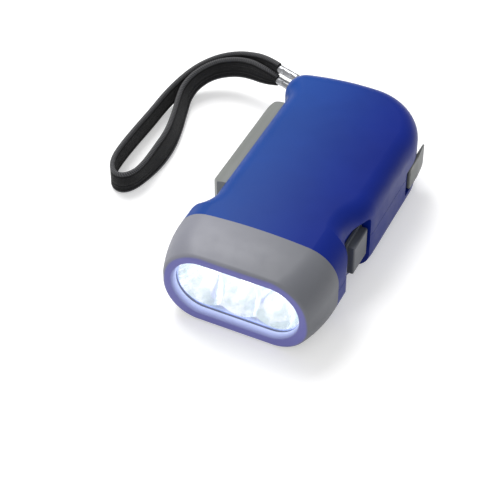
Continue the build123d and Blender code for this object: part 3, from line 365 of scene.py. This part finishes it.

# %% [markdown]
# ## What the strap and the cord are
#
# A free cord is a fixed length of something flexible. The tape starts at the upper sleeve. The
# thin cord goes into the casing's corner 3 mm from its sleeve, so that is where its hidden part
# starts.

print("cords declared:", wrist_strap.name, "and", strap_tie.name)

# %% [markdown]
# ## Node helpers
#
# A finish is a small network of nodes. It could be wired by hand in the editor, but written out
# it can be read and changed. These helpers add a node, set its inputs and link it, so that each
# finish below reads as a short recipe. Colours are written as they look on screen and turned into
# the linear values that Blender wants.


# %% Colour and node helpers
def paint(red, green, blue):
    """A colour given as 0-255 screen values, as linear RGBA."""
    screen = np.array([red, green, blue]) / 255
    linear = np.where(screen <= 0.04045, screen / 12.92, ((screen + 0.055) / 1.055) ** 2.4)
    return (*linear.tolist(), 1.0)


def feed(tree, socket, value):
    """Link the socket to value where that is a socket too, and otherwise set it to value."""
    if isinstance(value, bpy.types.NodeSocket):
        tree.links.new(value, socket)
    else:
        socket.default_value = value


def add(tree, kind, inputs=None, **settings):
    """A new node with its settings, and its inputs set to values or linked from sockets."""
    node = tree.nodes.new(kind)
    for key, value in settings.items():
        setattr(node, key, value)
    for key, value in (inputs or {}).items():
        feed(tree, node.inputs[key], value)
    return node


def object_place(tree):
    """The Object coordinates."""
    return add(tree, "ShaderNodeTexCoord").outputs["Object"]


def split(tree, vector):
    """The X, Y and Z of a vector."""
    return add(tree, "ShaderNodeSeparateXYZ", {"Vector": vector}).outputs


def noise(tree, where, scale, detail, **inputs):
    """A noise value from 0 to 1, with scale features to the unit of where."""
    inputs = {"Vector": where, "Scale": scale, "Detail": detail, **inputs}
    return add(tree, "ShaderNodeTexNoise", inputs).outputs["Fac"]


def maths(tree, operation, *values):
    """The result of one Math node."""
    return add(tree, "ShaderNodeMath", dict(enumerate(values)), operation=operation).outputs[0]


def span(tree, value, low, high, new_low=0.0, new_high=1.0):
    """value carried smoothly from low..high to new_low..new_high."""
    node = add(
        tree, "ShaderNodeMapRange",
        {"Value": value, "From Min": low, "From Max": high, "To Min": new_low, "To Max": new_high},
        interpolation_type="SMOOTHSTEP",
    )
    return node.outputs["Result"]


print("blue on screen 144 is linear", round(paint(0, 0, 144)[2], 3))

# %% Blends
MIX_FACTOR, MIX_FIRST, MIX_SECOND, MIX_RESULT = 0, 6, 7, 2  # a Mix node's sockets for colours


def blend_colours(tree, share, first, second):
    """The colour first where share is 0 and second where it is 1."""
    node = add(tree, "ShaderNodeMix", data_type="RGBA")
    for place, value in ((MIX_FACTOR, share), (MIX_FIRST, first), (MIX_SECOND, second)):
        feed(tree, node.inputs[place], value)
    return node.outputs[MIX_RESULT]


def blend_numbers(tree, share, first, second):
    """The number first where share is 0 and second where it is 1."""
    return maths(tree, "MULTIPLY_ADD", share, maths(tree, "SUBTRACT", second, first), first)


# %% Materials and groups
COLOUR, NUMBER = "NodeSocketColor", "NodeSocketFloat"
FINISH_OUTPUTS = [("Color", COLOUR), ("Roughness", NUMBER), ("Height", NUMBER)]


def new_group(name, inputs, outputs):
    """An empty shader node group with named inputs and outputs."""
    group = bpy.data.node_groups.new(name, "ShaderNodeTree")
    for label, kind, value in inputs:
        socket = group.interface.new_socket(label, in_out="INPUT", socket_type=kind)
        socket.default_value = value
    for label, kind in outputs:
        group.interface.new_socket(label, in_out="OUTPUT", socket_type=kind)
    return group, group.nodes.new("NodeGroupInput").outputs, group.nodes.new("NodeGroupOutput").inputs


def new_material(name):
    """A material, its node tree and its shader."""
    material = bpy.data.materials.new(name)
    material.use_nodes = True
    tree = material.node_tree
    return material, tree, tree.nodes["Principled BSDF"]


def emboss(tree, shader, height, distance, strength):
    """Lead a height through a Bump node to the shader; distance is in metres."""
    bump = add(tree, "ShaderNodeBump", {"Height": height, "Distance": distance, "Strength": strength})
    tree.links.new(bump.outputs["Normal"], shader.inputs["Normal"])


def use_finish(tree, shader, group, values, distance, strength=0.5):
    """Place a finish group and lead its colour, roughness and height to the shader."""
    node = add(tree, "ShaderNodeGroup", node_tree=group)
    for key, value in values.items():
        feed(tree, node.inputs[key], value)
    tree.links.new(node.outputs["Color"], shader.inputs["Base Color"])
    tree.links.new(node.outputs["Roughness"], shader.inputs["Roughness"])
    emboss(tree, shader, node.outputs["Height"], distance, strength)


print("every finish group puts out:", [label for label, kind in FINISH_OUTPUTS])

# %% [markdown]
# ## Moulded plastic
#
# The casing and the grey pieces are moulded plastic with a fine spark-eroded grain. One group
# makes that grain, a faint cloudiness in the colour and slightly uneven gloss, where hands have
# polished it. Noise on Object coordinates needs no UV map, which CAD meshes don't have, and every
# plastic piece uses the group with its own colour and grain.


# %% Moulded grain group
def make_moulded_grain():
    """Fine noise for the height, slow noise for the colour and a middle one for the gloss."""
    group, given, result = new_group(
        "moulded grain",
        [("Color", COLOUR, (0.5, 0.5, 0.5, 1)), ("Roughness", NUMBER, 0.4),
         ("Grain", NUMBER, 3500.0), ("Cloud", NUMBER, 0.06)],
        FINISH_OUTPUTS,
    )
    where = object_place(group)
    grain = noise(group, where, given["Grain"], 2.0)
    cloud = noise(group, where, 38.0, 3.0, Roughness=0.55)
    rubbed = noise(group, where, 160.0, 4.0)
    lift = span(group, cloud, 0.35, 0.65, -1.0, 1.0)
    bright = maths(group, "MULTIPLY_ADD", lift, given["Cloud"], 1.0)
    tint = add(group, "ShaderNodeHueSaturation", {"Value": bright, "Color": given["Color"]})
    worn = span(group, rubbed, 0.35, 0.7, -0.03, 0.03)
    group.links.new(tint.outputs["Color"], result["Color"])
    group.links.new(maths(group, "ADD", given["Roughness"], worn), result["Roughness"])
    group.links.new(grain, result["Height"])
    return group


moulded_grain = make_moulded_grain()


def plastic(name, colour, roughness, grain, cloud, depth=0.01 * MM):
    """A moulded plastic with its colour, gloss, grains to the metre, cloudiness and grain depth."""
    material, tree, shader = new_material(name)
    values = {"Color": colour, "Roughness": roughness, "Grain": grain, "Cloud": cloud}
    use_finish(tree, shader, moulded_grain, values, depth)
    return material


print("moulded grain nodes:", len(moulded_grain.nodes))

# %% [markdown]
# ## The blue casing
#
# The casing is a deep blue with a satin skin. Its colour carries painted shade: it is lighter on
# the left and darker and more violet on the right, as the light falls from the left. One flat blue
# would look dead, so this slow change across the width is mixed in before the grain.

# %% Blue casing
# painted shade runs across the width between these two places
PAINTED_SHADE_LEFT, PAINTED_SHADE_RIGHT = -26 * MM, 26 * MM


def make_casing_blue():
    """Satin blue plastic with painted shade, lighter on the left and darker on the right."""
    material, tree, shader = new_material("casing_blue")
    axes = split(tree, object_place(tree))
    # painted shade: the blue is lighter on the left and darker and more violet on the right
    painted_shade_share = span(tree, axes["X"], PAINTED_SHADE_LEFT, PAINTED_SHADE_RIGHT)
    colour = blend_colours(tree, painted_shade_share, paint(14, 65, 144), paint(6, 32, 123))
    values = {"Color": colour, "Roughness": 0.42, "Grain": 3200.0, "Cloud": 0.05}
    use_finish(tree, shader, moulded_grain, values, 0.012 * MM)
    shader.inputs["Specular IOR Level"].default_value = 0.16
    return material


casing_blue = make_casing_blue()
print("made", casing_blue.name)

# %% [markdown]
# ## The grey head ring
#
# The ring is grey plastic, with painted shade that makes it darker towards the right. The lamps
# throw a violet-blue light on its rounded lip and flood the inner wall with pale lavender. Real
# lamps in the bowls would make that light noisy, so the ring's own material carries it as painted
# light. The distance from the oval mouth decides how much: the mouth is a straight bar with round
# ends, so the distance is measured from a line and the end radius is taken off it.

# %% Head ring sizes
MOUTH_HALF_LENGTH = 11.9 * MM
MOUTH_RADIUS = 11.1 * MM
MOUTH_HEIGHT = 15.2 * MM
LIP_LIGHT_FADES = (2.0 * MM, 2.9 * MM)  # distances from the mouth
LOWER_LIP_EXTRA = 1.2 * MM  # the light reaches this much further along the lower lip
LOWER_LIP_HEIGHTS = (-9 * MM, 2 * MM)  # heights from the mouth's middle
LIP_DEPTHS = (-51.5 * MM, -48.0 * MM)  # places along Y
WALL_LIGHT_FADES = (-0.9 * MM, 0.4 * MM)
WALL_DEPTHS = (-50.0 * MM, -48.5 * MM)


# %% Head ring
def make_ring_grey():
    """Grey plastic with painted shade towards the right, and painted light on the lip and inner wall.

    The distance from the mouth is sqrt(max(|x| - half length, 0)^2 + rise^2) - radius.
    """
    material, tree, shader = new_material("ring_grey")
    axes = split(tree, object_place(tree))
    past_bar = maths(tree, "SUBTRACT", maths(tree, "ABSOLUTE", axes["X"]), MOUTH_HALF_LENGTH)
    beyond = maths(tree, "MAXIMUM", past_bar, 0.0)
    rise = maths(tree, "SUBTRACT", axes["Z"], MOUTH_HEIGHT)
    squares = maths(tree, "ADD", maths(tree, "MULTIPLY", beyond, beyond), maths(tree, "MULTIPLY", rise, rise))
    outside = maths(tree, "SUBTRACT", maths(tree, "SQRT", squares), MOUTH_RADIUS)

    extra = span(tree, rise, *LOWER_LIP_HEIGHTS, LOWER_LIP_EXTRA, 0.0)
    near_lip = span(tree, maths(tree, "SUBTRACT", outside, extra), *LIP_LIGHT_FADES, 1.0, 0.0)
    lip = maths(tree, "MULTIPLY", near_lip, span(tree, axes["Y"], *LIP_DEPTHS, 1.0, 0.0))
    near_wall = span(tree, outside, *WALL_LIGHT_FADES, 1.0, 0.0)
    wall = maths(tree, "MULTIPLY", near_wall, span(tree, axes["Y"], *WALL_DEPTHS, 1.0, 0.0))

    # painted shade: the grey is lighter on the left and darker on the right
    painted_shade_share = span(tree, axes["X"], PAINTED_SHADE_LEFT, PAINTED_SHADE_RIGHT)
    grey = blend_colours(tree, painted_shade_share, paint(130, 131, 141), paint(104, 106, 112))
    colour = blend_colours(tree, lip, grey, paint(98, 98, 158))
    colour = blend_colours(tree, wall, colour, paint(196, 206, 240))
    values = {"Color": colour, "Roughness": 0.5, "Grain": 3000.0, "Cloud": 0.04}
    use_finish(tree, shader, moulded_grain, values, 0.01 * MM)

    glow = blend_colours(tree, wall, paint(90, 90, 170), paint(190, 205, 245))
    shine = maths(tree, "MAXIMUM", maths(tree, "MULTIPLY", lip, 0.2), wall)
    emission = blend_colours(tree, shine, (0, 0, 0, 1), glow)
    tree.links.new(emission, shader.inputs["Emission Color"])
    shader.inputs["Emission Strength"].default_value = 0.75
    return material


ring_grey = make_ring_grey()
print("made", ring_grey.name)

# %% [markdown]
# ## Lens, reflector and lamps
#
# The lens is a clear pane. The reflector behind it is a bright metal coat with three bowls, and
# the lamps in them are lit, so their clear bodies shine white. The coat catches that light, and a
# little of its own glow keeps the bowls bright from every side, where mirrors alone would show
# the dark parts of the room.


# %% Lens
def make_lens_clear():
    """Clear plastic with a faint ripple."""
    material, tree, shader = new_material("lens_clear")
    shader.inputs["Base Color"].default_value = (0.97, 0.98, 1.0, 1.0)
    shader.inputs["Roughness"].default_value = 0.02
    shader.inputs["IOR"].default_value = 1.46
    shader.inputs["Transmission Weight"].default_value = 1.0
    where = object_place(tree)
    emboss(tree, shader, noise(tree, where, 120.0, 1.0), 0.02 * MM, 0.3)
    return material


lens_clear = make_lens_clear()
print("made", lens_clear.name)

# %% Reflector coat
COAT_GLOW_DEPTHS = (-49 * MM, -40 * MM)


def make_bright_coat():
    """A rippled mirror coat whose glow grows towards its back."""
    material, tree, shader = new_material("bright_coat")
    where = object_place(tree)
    ripple = noise(tree, where, 260.0, 3.0)
    shade = blend_colours(tree, span(tree, ripple, 0.4, 0.62), paint(244, 247, 255), paint(214, 226, 226))
    tree.links.new(shade, shader.inputs["Base Color"])
    tree.links.new(span(tree, ripple, 0.3, 0.7, 0.10, 0.22), shader.inputs["Roughness"])
    shader.inputs["Metallic"].default_value = 1.0
    emboss(tree, shader, ripple, 0.2 * MM, 0.35)
    deep = span(tree, split(tree, where)["Y"], *COAT_GLOW_DEPTHS, 0.35, 1.0)
    glow = blend_colours(tree, deep, (0, 0, 0, 1), paint(226, 236, 246))
    tree.links.new(glow, shader.inputs["Emission Color"])
    shader.inputs["Emission Strength"].default_value = 0.4
    return material


bright_coat = make_bright_coat()
print("made", bright_coat.name)


# %% Lamps
def make_lamp_lit():
    """White light with a trace of blue cloud."""
    material, tree, shader = new_material("lamp_lit")
    where = object_place(tree)
    cloud = noise(tree, where, 700.0, 1.0)
    glow = blend_colours(tree, span(tree, cloud, 0.3, 0.7), (1.0, 1.0, 1.0, 1.0), paint(238, 246, 255))
    tree.links.new(glow, shader.inputs["Base Color"])
    tree.links.new(glow, shader.inputs["Emission Color"])
    tree.links.new(span(tree, cloud, 0.3, 0.7, 0.08, 0.16), shader.inputs["Roughness"])
    shader.inputs["Emission Strength"].default_value = 1.1
    return material


lamp_lit = make_lamp_lit()
print("made", lamp_lit.name)

# %% [markdown]
# ## Woven tape
#
# The strap is black woven polyester. Its rib runs lengthwise, the cross threads break it into
# small grains, and both hems are sewn with a slightly paler thread. Modelled threads would be far
# too many faces, so two sine waves make the weave. The pattern follows the UV map, which counts
# millimetres, so it stays on the tape round every bend.

# %% Woven group
STITCH_LENGTH = 0.8
HEM_EDGE = 0.35


def make_woven_tape():
    """sin(2*pi*v/rib)*sin(2*pi*u/pick) for the weave, and a slanted sine for the hem's stitches."""
    group, given, result = new_group(
        "woven tape",
        [("Color", COLOUR, (0.03, 0.03, 0.03, 1)), ("Thread", COLOUR, (0.1, 0.1, 0.1, 1)),
         ("Rib", NUMBER, 0.5), ("Pick", NUMBER, 0.42), ("Hem", NUMBER, 3.3)],
        FINISH_OUTPUTS,
    )
    place = add(group, "ShaderNodeUVMap", uv_map="millimetres").outputs["UV"]
    axes = split(group, place)
    full = 2 * math.pi
    rib_turn = maths(group, "DIVIDE", maths(group, "MULTIPLY", axes["Y"], full), given["Rib"])
    pick_turn = maths(group, "DIVIDE", maths(group, "MULTIPLY", axes["X"], full), given["Pick"])
    rib, pick = maths(group, "SINE", rib_turn), maths(group, "SINE", pick_turn)
    weave = maths(group, "MULTIPLY", rib, pick)
    slant = maths(group, "ADD", axes["X"], maths(group, "MULTIPLY", axes["Y"], 0.5))
    stitch = maths(group, "SINE", maths(group, "MULTIPLY", slant, full / STITCH_LENGTH))
    hem_full = maths(group, "ADD", given["Hem"], HEM_EDGE)
    on_hem = span(group, maths(group, "ABSOLUTE", axes["Y"]), given["Hem"], hem_full)
    speck = noise(group, place, 1.6, 4.0)
    sewn = maths(group, "MULTIPLY", on_hem, span(group, stitch, -0.6, 0.6, 0.45, 1.0))
    shade = blend_colours(group, sewn, given["Color"], given["Thread"])
    shade = blend_colours(group, span(group, speck, 0.5, 0.8, 0.0, 0.25), shade, given["Thread"])
    shade = blend_colours(group, span(group, weave, -1.0, 1.0, 0.0, 0.12), shade, given["Thread"])
    height = blend_numbers(group, on_hem, maths(group, "MULTIPLY_ADD", rib, 0.5, weave), stitch)
    group.links.new(shade, result["Color"])
    group.links.new(span(group, speck, 0.3, 0.7, 0.72, 0.92), result["Roughness"])
    group.links.new(height, result["Height"])
    return group


woven_tape = make_woven_tape()
print("woven tape nodes:", len(woven_tape.nodes))


# %% Strap and cord cloth
def cloth(name, colour, thread, rib, pick, hem):
    """A dull cloth; rib, pick and hem are in millimetres, and a hem past the edge sews none."""
    material, tree, shader = new_material(name)
    values = {"Color": colour, "Thread": thread, "Rib": rib, "Pick": pick, "Hem": hem}
    use_finish(tree, shader, woven_tape, values, 0.08 * MM, 0.8)
    shader.inputs["Specular IOR Level"].default_value = 0.2
    shader.inputs["Sheen Weight"].default_value = 0.1
    shader.inputs["Sheen Roughness"].default_value = 0.4
    return material


strap_cloth = cloth("strap_cloth", paint(8, 8, 9), paint(88, 88, 90), rib=0.5, pick=0.42, hem=3.3)
cord_cloth = cloth("cord_cloth", paint(22, 24, 22), paint(80, 84, 80), rib=0.9, pick=0.5, hem=50.0)
print("made", strap_cloth.name, "and", cord_cloth.name)

# %% [markdown]
# ## Metals
#
# Pins, plates and sleeves are drawn or rolled metal, and that leaves long fine scratches in their
# gloss. Anisotropic gloss could stand for them, but noise that is stretched along one direction
# shows them up close too. One group makes it, and a low number along an axis gives long scratches.


# %% Drawn metal group
def make_drawn_metal():
    """Noise at (x*a, y*a, z*b), where a and b are features to the metre."""
    group, given, result = new_group(
        "drawn metal",
        [("Color", COLOUR, (0.6, 0.6, 0.6, 1)), ("Roughness", NUMBER, 0.3),
         ("Along X", NUMBER, 400.0), ("Along Z", NUMBER, 4000.0)],
        FINISH_OUTPUTS,
    )
    axes = split(group, object_place(group))
    stretched = add(
        group, "ShaderNodeCombineXYZ",
        {"X": maths(group, "MULTIPLY", axes["X"], given["Along X"]),
         "Y": maths(group, "MULTIPLY", axes["Y"], given["Along X"]),
         "Z": maths(group, "MULTIPLY", axes["Z"], given["Along Z"])},
    ).outputs["Vector"]
    scratch = noise(group, stretched, 1.0, 5.0)
    bright = span(group, scratch, 0.3, 0.7, 0.93, 1.05)
    tint = add(group, "ShaderNodeHueSaturation", {"Value": bright, "Color": given["Color"]})
    worn = span(group, scratch, 0.3, 0.7, -0.06, 0.08)
    group.links.new(tint.outputs["Color"], result["Color"])
    group.links.new(maths(group, "ADD", given["Roughness"], worn), result["Roughness"])
    group.links.new(scratch, result["Height"])
    return group


drawn_metal = make_drawn_metal()


def metal(name, colour, roughness, along_x, along_z):
    """A drawn metal with its colour, gloss and scratches."""
    material, tree, shader = new_material(name)
    values = {"Color": colour, "Roughness": roughness, "Along X": along_x, "Along Z": along_z}
    use_finish(tree, shader, drawn_metal, values, 0.004 * MM, 0.4)
    shader.inputs["Metallic"].default_value = 1.0
    return material


print("drawn metal nodes:", len(drawn_metal.nodes))

# %% [markdown]
# ## Boards and coil
#
# These lie inside, out of sight in use, but each still has its own finish. A circuit board shows
# its copper tracks as a pattern under green lacquer, and square cells are near enough to tracks
# at this size. The coil is wound with lacquered wire, and a sine wave makes its turns.

# %% Board with tracks
TRACK_EDGE = (0.34, 0.38)


def make_board_green():
    """Green lacquer over tracks, which the square cells of a Voronoi pattern lay out."""
    material, tree, shader = new_material("board_green")
    where = object_place(tree)
    cells = add(
        tree, "ShaderNodeTexVoronoi", {"Vector": where, "Scale": 420.0},
        distance="CHEBYCHEV", feature="F1",
    )
    track = span(tree, cells.outputs["Distance"], *TRACK_EDGE)
    colour = blend_colours(tree, track, paint(28, 112, 62), paint(20, 86, 48))
    tree.links.new(colour, shader.inputs["Base Color"])
    tree.links.new(span(tree, track, 0.0, 1.0, 0.28, 0.36), shader.inputs["Roughness"])
    emboss(tree, shader, track, 0.03 * MM, 0.6)
    return material


board_green = make_board_green()
print("made", board_green.name)

# %% Wound wire
WIRE_WIDTH = 0.28 * MM


def make_copper_turns():
    """Turns of lacquered wire: a sine along Z makes the ridges, each one wire wide."""
    material, tree, shader = new_material("copper_turns")
    axes = split(tree, object_place(tree))
    turns = maths(tree, "SINE", maths(tree, "MULTIPLY", axes["Z"], 2 * math.pi / WIRE_WIDTH))
    # painted shade: the copper darkens in the grooves between the turns
    colour = blend_colours(tree, span(tree, turns, -1.0, 0.4), paint(96, 40, 18), paint(206, 122, 74))
    tree.links.new(colour, shader.inputs["Base Color"])
    tree.links.new(span(tree, turns, -1.0, 1.0, 0.42, 0.26), shader.inputs["Roughness"])
    shader.inputs["Metallic"].default_value = 0.9
    emboss(tree, shader, turns, 0.06 * MM, 0.9)
    return material


copper_turns = make_copper_turns()
print("made", copper_turns.name)

# %% [markdown]
# ## A finish for each piece
#
# The CAD pieces keep their shapes and only get a better material in their slot. A table of finish
# and pieces is easier to check than one line for each piece.

# %% Plastics and metals
grip_grey = plastic("grip_grey", paint(118, 121, 118), 0.45, 2600.0, 0.05)
control_grey = plastic("control_grey", paint(78, 82, 89), 0.42, 2600.0, 0.05)
lock_grey = plastic("lock_grey", paint(98, 101, 99), 0.45, 2600.0, 0.05)
gear_white = plastic("gear_white", paint(226, 224, 214), 0.4, 2200.0, 0.03)
moulded_black = plastic("moulded_black", paint(34, 34, 36), 0.35, 2400.0, 0.1)
magnet_dark = plastic("magnet_dark", paint(58, 58, 62), 0.55, 5200.0, 0.12, 0.03 * MM)
pin_steel = metal("pin_steel", paint(190, 190, 194), 0.26, 400.0, 4000.0)
plate_steel = metal("plate_steel", paint(196, 196, 192), 0.32, 2600.0, 500.0)
cell_steel = metal("cell_steel", paint(214, 212, 206), 0.18, 1800.0, 300.0)
sleeve_bright = metal("sleeve_bright", paint(172, 173, 176), 0.4, 300.0, 900.0)
print("materials so far:", len(bpy.data.materials))

# %% Give each node its finish
finishes = {
    casing_blue: ["bottom_shell", "top_shell"],
    ring_grey: ["head_bezel"],
    lens_clear: ["lens"],
    bright_coat: ["reflector"],
    lamp_lit: ["led_left", "led_middle", "led_right"],
    board_green: ["led_board", "charge_board"],
    cell_steel: ["battery_cell"],
    plate_steel: ["battery_clip", "claw_plate_lower", "claw_plate_upper"],
    moulded_black: ["diodes", "switch_body"],
    control_grey: ["switch_knob"],
    lock_grey: ["lever_lock"],
    grip_grey: ["squeeze_lever"],
    pin_steel: [
        "lever_pin", "lever_spring", "first_axle", "second_axle", "rotor_axle", "case_screws",
        "strap_post",
    ],
    gear_white: ["first_gear", "second_gear", "rotor", "stator_bobbin"],
    magnet_dark: ["ring_magnet"],
    copper_turns: ["stator_coil"],
    strap_cloth: ["strap_band"],
    cord_cloth: ["strap_cord"],
    sleeve_bright: ["strap_ferrules"],
}
for material, names in finishes.items():
    for name in names:
        nodes[name].data.materials.clear()
        nodes[name].data.materials.append(material)
wrist_strap.data.materials.append(strap_cloth)
strap_tie.data.materials.append(cord_cloth)
for sleeve in sleeves:
    sleeve.data.materials.append(sleeve_bright)
print("finishes:", len(finishes), "for", sum(len(names) for names in finishes.values()), "nodes")

# %% [markdown]
# ## The studio
#
# The photograph shows the torch on a white sheet under soft light from the upper left, with faint
# grey shadows to the right and in front. The world gives an even light, one large lamp gives the
# direction, and a weaker one fills the front. Stronger lamps would whiten the sheet but wash out
# the torch, so the floor adds its own white, only for the camera and for reflections, and more of
# it further out, where the lamps reach less. The shadow stays.


# %% Floor
def seen_by(tree, *kinds):
    """1 for rays of these kinds and 0 for the others."""
    rays = add(tree, "ShaderNodeLightPath").outputs
    seen = rays[kinds[0]]
    for kind in kinds[1:]:
        seen = maths(tree, "MAXIMUM", seen, rays[kind])
    return seen


FLOOR_Z = -0.2 * MM
FLOOR_REACH = 3.0
NEAR_WHITE, FAR_WHITE = 0.37, 0.64
WHITE_GROWS = (0.25, 1.1)  # metres from the torch
signs = ((-1, -1), (1, -1), (1, 1), (-1, 1))
floor_corners = [(x * FLOOR_REACH, y * FLOOR_REACH, FLOOR_Z) for x, y in signs]
floor_mesh = bpy.data.meshes.new("studio_floor")
floor_mesh.from_pydata(floor_corners, [], [(0, 1, 2, 3)])
studio_floor = bpy.data.objects.new("studio_floor", floor_mesh)
bpy.context.scene.collection.objects.link(studio_floor)
floor_white, tree, shader = new_material("floor_white")
shader.inputs["Base Color"].default_value = (0.8, 0.8, 0.8, 1)
shader.inputs["Roughness"].default_value = 0.9
shader.inputs["Specular IOR Level"].default_value = 0.0
shader.inputs["Emission Color"].default_value = (1, 1, 1, 1)
away = add(tree, "ShaderNodeVectorMath", {0: object_place(tree)}, operation="LENGTH")
extra_white = span(tree, away.outputs["Value"], *WHITE_GROWS, NEAR_WHITE, FAR_WHITE)
seen = seen_by(tree, "Is Camera Ray", "Is Glossy Ray", "Is Transmission Ray")
tree.links.new(maths(tree, "MULTIPLY", seen, extra_white), shader.inputs["Emission Strength"])
floor_mesh.materials.append(floor_white)
print("floor side in m:", 2 * FLOOR_REACH)

# %% World
EVEN_LIGHT = 0.5
world = bpy.data.worlds.new("studio")
world.use_nodes = True
bpy.context.scene.world = world
tree = world.node_tree
seen = seen_by(tree, "Is Camera Ray", "Is Transmission Ray")
background = tree.nodes["Background"]
background.inputs["Color"].default_value = (1, 1, 1, 1)
tree.links.new(blend_numbers(tree, seen, EVEN_LIGHT, 1.0), background.inputs["Strength"])
print("even light:", EVEN_LIGHT)

# %% Lamps and view
LAMP_AIM = Vector((0, 0, 0.01))


def area_lamp(name, place, size, power):
    """A square lamp that faces the torch."""
    lamp = bpy.data.lights.new(name, "AREA")
    lamp.size = size
    lamp.energy = power
    lamp_object = bpy.data.objects.new(name, lamp)
    lamp_object.location = place
    lamp_object.rotation_euler = (Vector(place) - LAMP_AIM).to_track_quat("Z", "Y").to_euler()
    bpy.context.scene.collection.objects.link(lamp_object)


area_lamp("soft_key", place=(-0.42, 0.30, 0.85), size=0.5, power=7.6)
area_lamp("front_fill", place=(0.1, -0.8, 0.5), size=0.8, power=2.0)
bpy.context.scene.view_settings.view_transform = "Standard"
